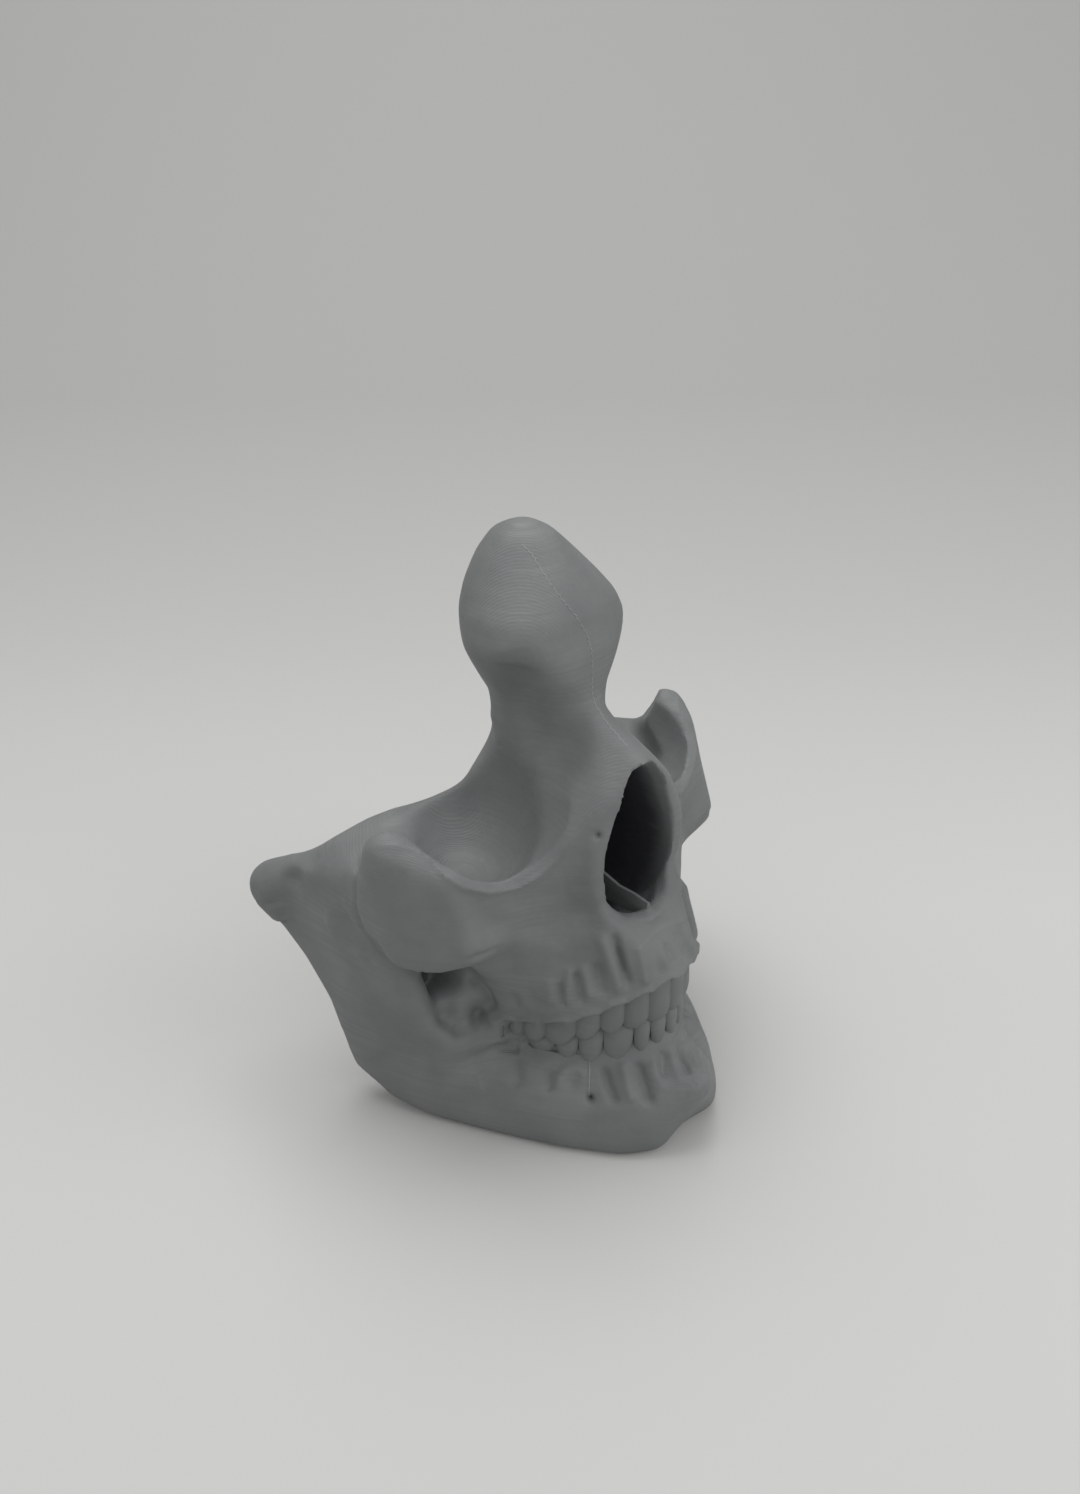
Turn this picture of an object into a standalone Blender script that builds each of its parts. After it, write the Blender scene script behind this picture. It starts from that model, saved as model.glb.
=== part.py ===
"""Anatomical skull model, cut down to the face: life size, standing on the flat base of its jaw.

The bones are sculpted as one continuous form, the way such a model is sculpted, and then taken apart
along the lines an anatomist would use, so that every bone and every tooth is a solid of its own.
The face looks along -Y, +Z is up, and the origin is under the middle of the model on the table.
"""

import math

import bmesh
import bpy
from mathutils import Matrix, Vector

# Driving dimensions, in metres
FACE_HALF_WIDTH = 0.050  # middle of the face to the middle of a cheekbone
FACE_DEPTH = 0.100  # chin to the hinge of the jaw, along the table
FACE_HEIGHT = 0.100  # table to the bridge of the nose
BONE_THICKNESS = 0.010  # full thickness of an ordinary wall of bone

# Forehead column
COLUMN_HEIGHT = 0.0534
COLUMN_HALF_WIDTH = 0.0205
COLUMN_DEPTH = 0.036

# Nose opening
NOSE_HALF_WIDTH = 0.0123
NOSE_HEIGHT = 0.0428
NOSE_WALL = 0.0015  # bone left behind the opening, in front of the seam there
SEPTUM_THICKNESS = 0.0018
SEPTUM_HEIGHT = 0.0052

# Eye sockets, left open as bowls
SOCKET_HALF_WIDTH = 0.0165
SOCKET_HALF_DEPTH = 0.0225
SOCKET_BOWL_DEPTH = 0.021

# Teeth
TOOTH_DEPTH = 0.0084  # the deepest crown, from the cheek's side to the tongue's
ROOT_LENGTH = 0.0045
GUM_LIP = 0.0014  # how far the upper crowns stand behind the gum's edge
LOWER_SETBACK = 0.0009  # how much further back the lower crowns stand

# Clearances
SEAM_GAP = 0.0003  # between two bones
CROWN_GAP = 0.0004  # between neighbouring crowns, upper and lower crowns, and a crown and its gum
ROOT_CLEARANCE = 0.0004

# The sculpt's grain, how soft its edges come out and how many triangles it keeps
SCULPT_GRAIN = 0.0012
SOFTENING_ROUNDS = 8
SCULPT_FACES = 6200
CUT_REACH = 0.200  # half the length of a cutter that goes right through
WELD = 0.000002  # two points nearer than this are one

BONE_COLOUR = (0.155, 0.165, 0.168, 1.0)
BONE_ROUGHNESS = 0.62

# Places of the sculpt's landmarks as shares: of FACE_HALF_WIDTH, FACE_DEPTH, FACE_HEIGHT, and the last
# one, the landmark's radius, of BONE_THICKNESS. A landmark off the middle is there on both sides.
LANDMARK_SHARES = {
    # lower border of the jaw, from the chin to the angle
    "chin_base": (0.000, 0.130, 0.050, 0.60),
    "chin_corner": (0.170, 0.135, 0.050, 0.58),
    "border_1": (0.270, 0.180, 0.045, 0.60),
    "border_2": (0.430, 0.300, 0.045, 0.60),
    "border_3": (0.580, 0.445, 0.045, 0.60),
    "border_4": (0.760, 0.620, 0.050, 0.60),
    "angle": (0.850, 0.695, 0.070, 0.60),
    # outer swell of the jaw's body
    "chin_boss": (0.000, 0.076, 0.175, 0.66),
    "chin_side": (0.100, 0.096, 0.135, 0.58),
    "chin_dent_0": (0.000, 0.138, 0.235, 0.52),
    "chin_dent_1": (0.150, 0.170, 0.225, 0.52),
    "chin_dent_2": (0.280, 0.230, 0.215, 0.52),
    "body_1": (0.276, 0.190, 0.145, 0.60),
    "body_2": (0.450, 0.305, 0.150, 0.60),
    "body_3": (0.610, 0.450, 0.150, 0.60),
    "body_4": (0.780, 0.580, 0.170, 0.60),
    # rim of the lower teeth
    "low_rim_0": (0.000, 0.180, 0.280, 0.52),
    "low_rim_1": (0.150, 0.203, 0.280, 0.52),
    "low_rim_2": (0.260, 0.246, 0.270, 0.52),
    "low_rim_3": (0.360, 0.315, 0.245, 0.52),
    "low_rim_4": (0.440, 0.410, 0.230, 0.52),
    "low_rim_5": (0.518, 0.500, 0.218, 0.62),
    "low_rim_6": (0.640, 0.600, 0.245, 0.55),
    "low_rim_7": (0.660, 0.680, 0.245, 0.52),
    # branch of the jaw
    "branch_front_1": (0.80, 0.540, 0.290, 0.45),
    "branch_front_2": (0.90, 0.580, 0.380, 0.42),
    "branch_front_3": (0.96, 0.590, 0.520, 0.40),
    "branch_top": (0.98, 0.640, 0.620, 0.42),
    "branch_back_1": (0.94, 0.785, 0.120, 0.45),
    "branch_back_2": (0.97, 0.800, 0.220, 0.45),
    "branch_back_3": (0.99, 0.830, 0.330, 0.45),
    "branch_back_4": (1.00, 0.920, 0.430, 0.45),
    "branch_back_5": (1.01, 1.015, 0.495, 0.45),
    "hinge_knob": (1.07, 1.040, 0.585, 0.68),
    # back ridge and shelf of the skull's side
    "ridge_1": (1.000, 0.930, 0.665, 0.50),
    "ridge_2": (0.880, 0.850, 0.725, 0.50),
    "ridge_3": (0.720, 0.825, 0.750, 0.50),
    "ridge_4": (0.600, 0.795, 0.765, 0.50),
    "ridge_5": (0.460, 0.740, 0.790, 0.50),
    "ridge_6": (0.340, 0.685, 0.835, 0.50),
    "ridge_7": (0.240, 0.650, 0.870, 0.50),
    "shelf_edge_1": (1.000, 0.810, 0.705, 0.45),
    "shelf_edge_2": (0.990, 0.710, 0.745, 0.45),
    # cheekbone
    "cheek_knob": (0.980, 0.600, 0.865, 0.63),
    "cheek_knob_front": (0.940, 0.545, 0.845, 0.56),
    "cheek_back_top": (1.000, 0.620, 0.790, 0.56),
    "cheek_back": (1.000, 0.620, 0.705, 0.56),
    "cheek_low": (0.986, 0.545, 0.625, 0.56),
    "cheek_low_front": (0.910, 0.480, 0.630, 0.56),
    "cheek_front": (0.840, 0.425, 0.655, 0.53),
    # rim of the eye socket
    "rim_outer": (0.840, 0.475, 0.813, 0.48),
    "rim_low": (0.680, 0.435, 0.775, 0.48),
    "rim_inner": (0.540, 0.410, 0.770, 0.50),
    "rim_nose": (0.400, 0.375, 0.805, 0.48),
    # nose
    "nose_bridge": (0.000, 0.458, 1.120, 0.53),
    "nose_ridge": (0.000, 0.390, 1.055, 0.60),
    "nose_tip": (0.000, 0.285, 1.002, 0.48),
    "nose_side_top": (0.190, 0.315, 0.930, 0.48),
    "nose_side": (0.270, 0.320, 0.810, 0.50),
    "nose_side_low": (0.270, 0.325, 0.690, 0.50),
    "nose_sill": (0.000, 0.250, 0.585, 0.50),
    "nose_spine": (0.000, 0.225, 0.630, 0.20),
    # upper jaw
    "up_rim_0": (0.000, 0.174, 0.490, 0.60),
    "up_rim_1": (0.150, 0.202, 0.475, 0.60),
    "up_rim_2": (0.260, 0.241, 0.450, 0.60),
    "up_rim_3": (0.340, 0.290, 0.420, 0.60),
    "up_rim_4": (0.406, 0.360, 0.390, 0.60),
    "up_rim_5": (0.460, 0.450, 0.365, 0.60),
    "up_rim_6": (0.490, 0.530, 0.355, 0.60),
    "upper_1": (0.180, 0.253, 0.600, 0.60),
    "upper_2": (0.310, 0.325, 0.580, 0.60),
    "upper_3": (0.440, 0.390, 0.540, 0.65),
    "upper_4": (0.520, 0.470, 0.500, 0.70),
    "upper_5": (0.520, 0.560, 0.500, 0.70),
    "cheek_1": (0.420, 0.390, 0.660, 0.65),
    "cheek_2": (0.580, 0.435, 0.650, 0.70),
    "cheek_3": (0.740, 0.450, 0.670, 0.60),
    "strut_1": (0.580, 0.460, 0.540, 0.60),
    "strut_2": (0.700, 0.455, 0.610, 0.60),
    # floors and core
    "palate_front": (0.00, 0.300, 0.545, 0.40),
    "palate_side": (0.24, 0.320, 0.535, 0.40),
    "palate_back": (0.00, 0.560, 0.545, 0.40),
    "palate_back_side": (0.28, 0.560, 0.535, 0.40),
    "floor_inner": (0.40, 0.560, 0.660, 0.65),
    "floor_outer": (0.64, 0.570, 0.650, 0.65),
    "floor_edge": (0.86, 0.570, 0.660, 0.55),
    "core_top": (0.00, 0.440, 0.960, 1.00),
    "core": (0.00, 0.560, 0.900, 1.10),
    "core_side": (0.14, 0.580, 0.830, 0.90),
    "back_top": (0.00, 0.660, 0.850, 0.60),
    "back_mid": (0.28, 0.660, 0.730, 0.70),
    "back_low": (0.00, 0.660, 0.640, 0.60),
    "back_low_side": (0.36, 0.640, 0.600, 0.60),
    "wing_root": (0.560, 0.600, 0.600, 0.55),
    "wing_back": (0.610, 0.730, 0.460, 0.40),
    "wing_front": (0.610, 0.530, 0.420, 0.40),
    "wing_tip": (0.620, 0.580, 0.315, 0.40),
    "wing_tip_back": (0.620, 0.720, 0.315, 0.40),
}

# Each plate of bone is the hull of its landmarks
PLATES = [
    ("chin_base", "chin_corner", "chin_boss", "chin_side"),
    ("chin_corner", "border_1", "chin_side", "body_1"),
    ("border_1", "border_2", "body_1", "body_2"),
    ("border_2", "border_3", "body_2", "body_3"),
    ("border_3", "border_4", "body_3", "body_4"),
    ("border_4", "angle", "body_4", "branch_back_1"),
    ("chin_boss", "chin_side", "chin_dent_0", "chin_dent_1"),
    ("chin_dent_0", "chin_dent_1", "low_rim_0", "low_rim_1"),
    ("chin_base", "chin_corner", "low_rim_0", "low_rim_1"),
    ("chin_side", "body_1", "chin_dent_1", "chin_dent_2"),
    ("chin_dent_1", "chin_dent_2", "low_rim_1", "low_rim_2"),
    ("body_1", "body_2", "chin_dent_2", "low_rim_3"),
    ("chin_dent_2", "low_rim_2", "low_rim_3"),
    ("body_2", "body_3", "low_rim_3", "low_rim_4"),
    ("body_3", "body_4", "low_rim_4", "low_rim_5"),
    ("body_4", "low_rim_5", "branch_front_1", "branch_back_1"),
    ("low_rim_5", "low_rim_6", "body_4", "branch_front_1"),
    ("low_rim_6", "low_rim_7", "branch_front_1", "branch_back_1"),
    ("branch_front_1", "branch_front_2", "branch_back_1", "branch_back_2"),
    ("branch_front_2", "branch_front_3", "branch_back_2", "branch_back_3"),
    ("branch_front_3", "branch_top", "branch_back_3", "branch_back_4"),
    ("branch_top", "branch_back_4", "branch_back_5", "ridge_1"),
    ("branch_back_5", "hinge_knob", "ridge_1"),
    ("branch_top", "ridge_1", "shelf_edge_1", "shelf_edge_2"),
    ("ridge_1", "ridge_2", "shelf_edge_1"),
    ("ridge_2", "ridge_3", "shelf_edge_1", "shelf_edge_2"),
    ("ridge_3", "ridge_4", "shelf_edge_2", "floor_edge", "floor_outer"),
    ("ridge_4", "ridge_5", "floor_outer", "floor_inner"),
    ("ridge_5", "ridge_6", "floor_inner", "back_mid"),
    ("ridge_6", "ridge_7", "core_side", "back_mid"),
    ("shelf_edge_2", "branch_top", "cheek_back", "cheek_back_top"),
    ("cheek_back_top", "shelf_edge_2", "floor_edge"),
    ("cheek_knob", "cheek_knob_front", "cheek_back_top"),
    ("cheek_knob_front", "cheek_back_top", "cheek_back", "cheek_low"),
    ("cheek_knob_front", "rim_outer", "cheek_low", "cheek_low_front"),
    ("rim_outer", "cheek_low_front", "cheek_front", "cheek_3"),
    ("rim_outer", "rim_low", "cheek_3", "cheek_2"),
    ("cheek_front", "cheek_3", "cheek_2", "strut_2"),
    ("rim_low", "rim_inner", "cheek_2", "cheek_1"),
    ("rim_inner", "rim_nose", "cheek_1", "nose_side_low"),
    ("rim_nose", "nose_side", "nose_side_low", "rim_inner"),
    ("rim_nose", "nose_side", "nose_side_top"),
    ("nose_side_top", "nose_tip", "nose_ridge", "rim_nose"),
    ("nose_ridge", "nose_bridge", "core_top"),
    ("nose_ridge", "core_top", "rim_nose", "nose_side_top"),
    ("nose_sill", "upper_1", "up_rim_0", "up_rim_1"),
    ("nose_spine", "nose_sill"),
    ("upper_1", "upper_2", "up_rim_1", "up_rim_2"),
    ("upper_2", "upper_3", "up_rim_2", "up_rim_3"),
    ("upper_3", "upper_4", "up_rim_3", "up_rim_4"),
    ("upper_4", "upper_5", "up_rim_4", "up_rim_5"),
    ("upper_1", "upper_2", "nose_side_low", "cheek_1"),
    ("upper_2", "upper_3", "cheek_1", "cheek_2"),
    ("upper_3", "upper_4", "cheek_2", "strut_1"),
    ("strut_1", "strut_2", "cheek_2", "upper_4"),
    ("palate_front", "palate_side", "nose_sill", "upper_1"),
    ("palate_front", "palate_side", "palate_back", "palate_back_side"),
    ("palate_side", "palate_back_side", "upper_3", "upper_5", "upper_4"),
    ("cheek_1", "cheek_2", "floor_inner", "floor_outer", "rim_inner"),
    ("cheek_2", "cheek_3", "floor_outer", "floor_edge", "rim_low"),
    ("floor_edge", "cheek_back", "cheek_low", "cheek_3"),
    ("floor_inner", "floor_outer", "upper_4", "upper_5", "wing_root"),
    ("floor_inner", "back_mid", "core_side", "rim_nose", "nose_side"),
    ("core_top", "core", "core_side", "back_top"),
    ("core_top", "core_side", "rim_nose"),
    ("palate_front", "palate_side", "nose_side_low", "nose_side", "core_top", "core", "palate_back"),
    ("palate_side", "palate_back_side", "palate_back", "nose_side_low", "core", "core_side"),
    ("palate_back", "palate_back_side", "core", "core_side", "back_mid", "back_low", "floor_inner"),
    ("core", "back_top", "back_mid", "core_side", "ridge_7"),
    ("back_top", "back_mid", "back_low", "back_low_side"),
    ("back_low", "back_low_side", "palate_back", "palate_back_side"),
    ("back_mid", "back_low_side", "floor_inner", "floor_outer", "wing_root"),
    ("ridge_5", "back_mid", "back_low_side", "floor_outer"),
    ("upper_5", "up_rim_5", "up_rim_6", "upper_4"),
    ("wing_root", "wing_front", "wing_back"),
    ("wing_front", "wing_back", "wing_tip", "wing_tip_back"),
    ("wing_root", "wing_front", "upper_5", "up_rim_6"),
    ("low_rim_6", "low_rim_7", "branch_front_1", "wing_tip", "wing_tip_back"),
]

# Rings of the forehead column: height share of COLUMN_HEIGHT above the nose bridge, half-width share of
# COLUMN_HALF_WIDTH, its front and its back as shares of COLUMN_DEPTH behind the column's face, and how
# square its front is
COLUMN_RING_SHARES = [
    (-0.040, 0.600, -0.125, 0.778, 2.0),
    (0.090, 0.580, -0.055, 0.800, 2.0),
    (0.210, 0.600, 0.000, 0.860, 2.0),
    (0.300, 0.720, 0.033, 0.917, 2.1),
    (0.410, 0.880, 0.028, 0.944, 2.5),
    (0.490, 0.985, 0.036, 0.958, 2.9),
    (0.565, 1.000, 0.064, 0.972, 3.0),
    (0.655, 0.950, 0.110, 1.000, 2.8),
    (0.750, 0.800, 0.194, 1.000, 2.3),
    (0.860, 0.575, 0.320, 0.958, 2.0),
    (0.950, 0.350, 0.444, 0.875, 2.0),
    (1.000, 0.120, 0.600, 0.720, 2.0),
]
COLUMN_FACE_SHARE = 0.405  # of FACE_DEPTH
RING_POINTS = 28
# Each eye socket is cut by two bowls, one behind the other: the place of the centre, then the half-width,
# half-depth and depth as shares of the socket's sizes
SOCKET_BOWL_SHARES = [
    ((0.58, 0.56, 0.925), (1.00, 1.00, 1.00)),
    ((0.60, 0.42, 1.000), (1.15, 0.89, 1.05)),
]
BASE_SHARES = [(-0.30, 0.00), (1.60, 0.00), (1.60, -0.30), (-0.30, -0.30)]

# Half outline of the nose opening, from its floor up: half-width share of NOSE_HALF_WIDTH, height share
# of NOSE_HEIGHT
NOSE_OUTLINE_SHARES = [
    (0.00, 0.165),
    (0.10, 0.150),
    (0.20, 0.115),
    (0.32, 0.105),
    (0.50, 0.105),
    (0.75, 0.140),
    (0.92, 0.225),
    (1.00, 0.320),
    (1.00, 0.430),
    (0.94, 0.570),
    (0.85, 0.720),
    (0.72, 0.870),
    (0.50, 0.960),
    (0.24, 1.000),
]
NOSE_FLOOR_SHARE = 0.607  # of FACE_HEIGHT
NOSE_MARGIN_SHARE = 0.260  # of FACE_DEPTH
NOSE_BACK_SHARE = 0.585  # of FACE_DEPTH: where the face ends behind the nose
NOSE_DEPTH = (NOSE_BACK_SHARE - NOSE_MARGIN_SHARE) * FACE_DEPTH - NOSE_WALL
# How the opening runs inwards: depth share of NOSE_DEPTH, width share, height share, and the share of
# NOSE_HEIGHT by which the floor drops
NOSE_FUNNEL_SHARES = [
    (-1.00, 1.00, 1.00, 0.00),
    (0.02, 1.00, 1.00, 0.00),
    (0.14, 1.00, 1.00, 0.07),
    (0.62, 0.78, 0.80, 0.07),
    (1.00, 0.50, 0.52, 0.07),
]

# Lines of the bite as seen from the side: place share of FACE_DEPTH, height share of FACE_HEIGHT
UPPER_GUM_SHARES = [
    (0.090, 0.510),
    (0.112, 0.498),
    (0.131, 0.482),
    (0.167, 0.465),
    (0.192, 0.450),
    (0.216, 0.432),
    (0.250, 0.410),
    (0.272, 0.397),
    (0.335, 0.370),
    (0.397, 0.347),
    (0.470, 0.329),
    (0.540, 0.316),
]
BITE_SHARES = [
    (0.090, 0.378),
    (0.133, 0.372),
    (0.168, 0.363),
    (0.214, 0.350),
    (0.248, 0.327),
    (0.301, 0.297),
    (0.365, 0.286),
    (0.406, 0.282),
    (0.470, 0.275),
    (0.540, 0.270),
]
LOWER_GUM_SHARES = [
    (0.090, 0.304),
    (0.127, 0.297),
    (0.181, 0.277),
    (0.236, 0.258),
    (0.296, 0.251),
    (0.367, 0.247),
    (0.445, 0.238),
    (0.540, 0.234),
]
# The row of teeth is half of an ellipse, measured at the gum's outer edge
ARCH_CENTRE_SHARE = 0.58  # of FACE_DEPTH
ARCH_WIDTH_SHARE = 0.60  # of FACE_HALF_WIDTH
ARCH_LENGTH_SHARE = 0.47  # of FACE_DEPTH
ARCH_STEPS = 180

# Teeth from the middle to the back: name, width as a share of half the arch's run, depth as a share of
# TOOTH_DEPTH, and how far the corners of the biting edge stand back, as a share of the crown's height
UPPER_TEETH_SHARES = [
    ("incisor_1", 0.1307, 0.690, 0.03),
    ("incisor_2", 0.1176, 0.690, 0.06),
    ("canine", 0.1078, 0.786, 0.20),
    ("premolar_1", 0.1078, 0.881, 0.18),
    ("premolar_2", 0.1454, 0.929, 0.26),
    ("molar_1", 0.1095, 1.000, 0.24),
    ("molar_2", 0.0915, 1.000, 0.12),
    ("molar_3", 0.0849, 0.929, 0.10),
]
LOWER_TEETH_SHARES = [
    ("incisor_1", 0.1046, 0.619, 0.03),
    ("incisor_2", 0.0915, 0.619, 0.04),
    ("canine", 0.1470, 0.762, 0.16),
    ("premolar_1", 0.1144, 0.833, 0.16),
    ("premolar_2", 0.1095, 0.857, 0.14),
    ("molar_1", 0.1405, 0.952, 0.10),
    ("molar_2", 0.1046, 0.952, 0.10),
    ("molar_3", 0.0849, 0.905, 0.10),
]
# Crown rings: share of the crown's height, width share, depth share
CROWN_SHARES = [
    (0.00, 0.80, 0.86),
    (0.42, 1.00, 1.00),
    (0.82, 0.95, 0.80),
    (1.00, 0.74, 0.46),
]
CROWN_POINTS = 10
CROWN_SQUARENESS = 2.8
ROOT_WIDTH_SHARE = 0.21  # a root's radius, of its tooth's width
ROOT_TIP_SHARE = 0.6

# The blade on the floor of the nose, from the side: depth share of NOSE_DEPTH, height share of
# SEPTUM_HEIGHT
SEPTUM_OUTLINE_SHARES = [
    (0.15, 0.60),
    (0.35, 0.75),
    (0.62, 0.90),
    (0.97, 1.00),
]


# Lines that part the bones. From the side, as shares of FACE_DEPTH and FACE_HEIGHT: above the jaw's
# branch, below the forehead, under the nasal bones
BRANCH_SEAM_SHARES = [(0.42, 0.20), (0.42, 0.535), (0.66, 0.600), (0.98, 0.690), (1.30, 0.780), (1.30, 0.20)]
BRANCH_INNER_SHARE = 0.71  # of FACE_HALF_WIDTH
LEDGE_SEAM_SHARES = [(-0.30, 0.20), (-0.30, 0.302), (1.30, 0.302), (1.30, 0.20)]
LEDGE_INNER_SHARE = 0.622
JAW_BACK_SHARES = [(0.54, 0.300), (1.30, 0.300), (1.30, -0.20), (-0.30, -0.20)]
SKULL_BACK_SHARES = [(0.54, 0.304), (1.30, 0.304), (1.30, -0.20), (-0.30, -0.20)]
FOREHEAD_SEAM_SHARES = [(-0.30, 1.190), (1.60, 1.030), (1.60, 2.00), (-0.30, 2.00)]
NASAL_SEAM_SHARES = [(0.18, 0.965), (0.46, 1.105), (0.46, 1.30), (0.18, 1.30)]
NASAL_HALF_WIDTH_SHARE = 0.155  # of FACE_HALF_WIDTH
# From above, as shares of FACE_HALF_WIDTH and FACE_DEPTH: behind the face
BACK_SEAM_SHARES = [(0.00, NOSE_BACK_SHARE), (1.50, 0.700), (1.50, 1.60), (-1.50, 1.60), (-1.50, 0.700)]
# From the front, as shares of FACE_HALF_WIDTH and FACE_HEIGHT: inside the cheekbone
CHEEK_SEAM_SHARES = [(0.52, 1.10), (0.52, 0.800), (0.86, 0.560), (1.60, 0.560), (1.60, 1.10)]
CHEEK_BACK_SHARE = 0.200  # of FACE_DEPTH


def clear_scene():
    for old in list(bpy.data.objects):
        bpy.data.objects.remove(old, do_unlink=True)


def at(shares):
    """A place in the scene from its shares of the face's three sizes."""
    return Vector((shares[0] * FACE_HALF_WIDTH, shares[1] * FACE_DEPTH, shares[2] * FACE_HEIGHT))


def new_object(name, mesh, helper=False):
    thing = bpy.data.objects.new(name, mesh)
    bpy.context.collection.objects.link(thing)
    if helper:
        thing.hide_render = True
        thing.display_type = "WIRE"
    return thing


def object_from(name, bm, helper=False):
    bmesh.ops.recalc_face_normals(bm, faces=bm.faces)
    mesh = bpy.data.meshes.new(name)
    bm.to_mesh(mesh)
    bm.free()
    return new_object(name, mesh, helper)


def baked(thing):
    """The object with its modifiers worked into its mesh."""
    graph = bpy.context.evaluated_depsgraph_get()
    mesh = bpy.data.meshes.new_from_object(thing.evaluated_get(graph))
    thing.modifiers.clear()
    thing.data = mesh
    return thing


def hull_of(balls):
    """The smooth plate that wraps a few balls, given as (centre, radius)."""
    bm = bmesh.new()
    for centre, radius in balls:
        bmesh.ops.create_icosphere(bm, subdivisions=2, radius=radius, matrix=Matrix.Translation(centre))
    made = bmesh.ops.convex_hull(bm, input=bm.verts)
    inside = made["geom_interior"] + made["geom_unused"]
    spare = {item for item in inside if isinstance(item, bmesh.types.BMVert)}
    bmesh.ops.delete(bm, geom=list(spare), context="VERTS")
    return bm


def add_to(whole, piece):
    mesh = bpy.data.meshes.new("piece")
    piece.to_mesh(mesh)
    piece.free()
    whole.from_mesh(mesh)
    bpy.data.meshes.remove(mesh)


def mirrored(place, side):
    return Vector((side * place.x, place.y, place.z))


def add_plates(whole):
    for plate in PLATES:
        for side in (-1, 1):
            landmarks = [LANDMARK_SHARES[name] for name in plate]
            balls = [(mirrored(at(shares), side), shares[3] * BONE_THICKNESS) for shares in landmarks]
            add_to(whole, hull_of(balls))


def loft(rings):
    """A closed skin through rings of equal count, capped at both ends."""
    bm = bmesh.new()
    loops = [[bm.verts.new(point) for point in ring] for ring in rings]
    for low, high in zip(loops, loops[1:]):
        for i in range(len(low)):
            j = (i + 1) % len(low)
            bm.faces.new((low[i], low[j], high[j], high[i]))
    bm.faces.new(reversed(loops[0]))
    bm.faces.new(loops[-1])
    return bm


def rounded(value, squareness):
    """A cosine or a sine pushed outwards, so that a ring of them has fuller corners."""
    return math.copysign(abs(value) ** (2 / squareness), value)


def column_rings():
    """Rings of the forehead column: broad and flat in front, round behind."""
    face = COLUMN_FACE_SHARE * FACE_DEPTH
    rings = []
    for height, half_width, front, back, square in COLUMN_RING_SHARES:
        middle = face + (front + back) / 2 * COLUMN_DEPTH
        reach = (back - front) / 2 * COLUMN_DEPTH
        ring = []
        for i in range(RING_POINTS):
            angle = math.tau * i / RING_POINTS
            squareness = square if math.sin(angle) < 0 else 2.0
            across = half_width * COLUMN_HALF_WIDTH * rounded(math.cos(angle), squareness)
            along = reach * rounded(math.sin(angle), squareness)
            ring.append(Vector((across, middle + along, FACE_HEIGHT + height * COLUMN_HEIGHT)))
        rings.append(ring)
    return rings


def smoothed(thing):
    """One watertight skin over all the shapes of the object, with its edges softened."""
    remesh = thing.modifiers.new("skin", "REMESH")
    remesh.mode = "VOXEL"
    remesh.voxel_size = SCULPT_GRAIN
    smooth = thing.modifiers.new("soften", "SMOOTH")
    smooth.factor = 0.5
    smooth.iterations = SOFTENING_ROUNDS
    return baked(thing)


def combined(thing, other, operation):
    """The object less the other one, or only what both share, or both together."""
    work = thing.modifiers.new(operation.lower(), "BOOLEAN")
    work.operation = operation
    work.solver = "EXACT"
    work.object = other
    return baked(thing)


def bowl_cutter(centre_shares, size_shares, side):
    bm = bmesh.new()
    sizes = (SOCKET_HALF_WIDTH, SOCKET_HALF_DEPTH, SOCKET_BOWL_DEPTH)
    scale = Matrix.Diagonal([share * size for share, size in zip(size_shares, sizes)] + [1.0])
    place = Matrix.Translation(mirrored(at(centre_shares), side))
    bmesh.ops.create_icosphere(bm, subdivisions=4, radius=1.0, matrix=place @ scale)
    return object_from("eye_socket_cutter", bm, helper=True)


def lighter(thing):
    """The same form in fewer triangles, and exactly the same on both sides."""
    fewer = thing.modifiers.new("fewer faces", "DECIMATE")
    fewer.ratio = SCULPT_FACES / (2 * len(thing.data.polygons))
    baked(thing)
    bm = bmesh.new()
    bm.from_mesh(thing.data)
    everything = list(bm.verts) + list(bm.edges) + list(bm.faces)
    bmesh.ops.symmetrize(bm, input=everything, direction="-X", dist=SEAM_GAP)
    bmesh.ops.triangulate(bm, faces=bm.faces)
    bmesh.ops.recalc_face_normals(bm, faces=bm.faces)
    bm.to_mesh(thing.data)
    bm.free()
    return thing


def grown(outline, amount):
    """A closed outline, drawn anticlockwise or clockwise, with every edge moved outwards by the amount."""
    count = len(outline)
    area = sum(
        outline[i - 1][0] * outline[i][1] - outline[i][0] * outline[i - 1][1] for i in range(count)
    )
    turn = 1.0 if area > 0 else -1.0
    points = []
    for i in range(count):
        here = Vector(outline[i])
        before = (here - Vector(outline[i - 1])).normalized()
        after = (Vector(outline[(i + 1) % count]) - here).normalized()
        normal_before = turn * Vector((before.y, -before.x))
        normal_after = turn * Vector((after.y, -after.x))
        middle = (normal_before + normal_after).normalized()
        points.append(here + middle * amount / middle.dot(normal_before))
    return points


def prism(name, outline, axis, low, high):
    """An outline in the plane across an axis (0, 1 or 2), drawn out along it from low to high."""
    rings = []
    for level in (low, high):
        ring = []
        for first, second in outline:
            place = [first, second]
            place.insert(axis, level)
            ring.append(Vector(place))
        rings.append(ring)
    return object_from(name, loft(rings), helper=True)


def side_outline(shares):
    return [(along * FACE_DEPTH, up * FACE_HEIGHT) for along, up in shares]


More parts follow.
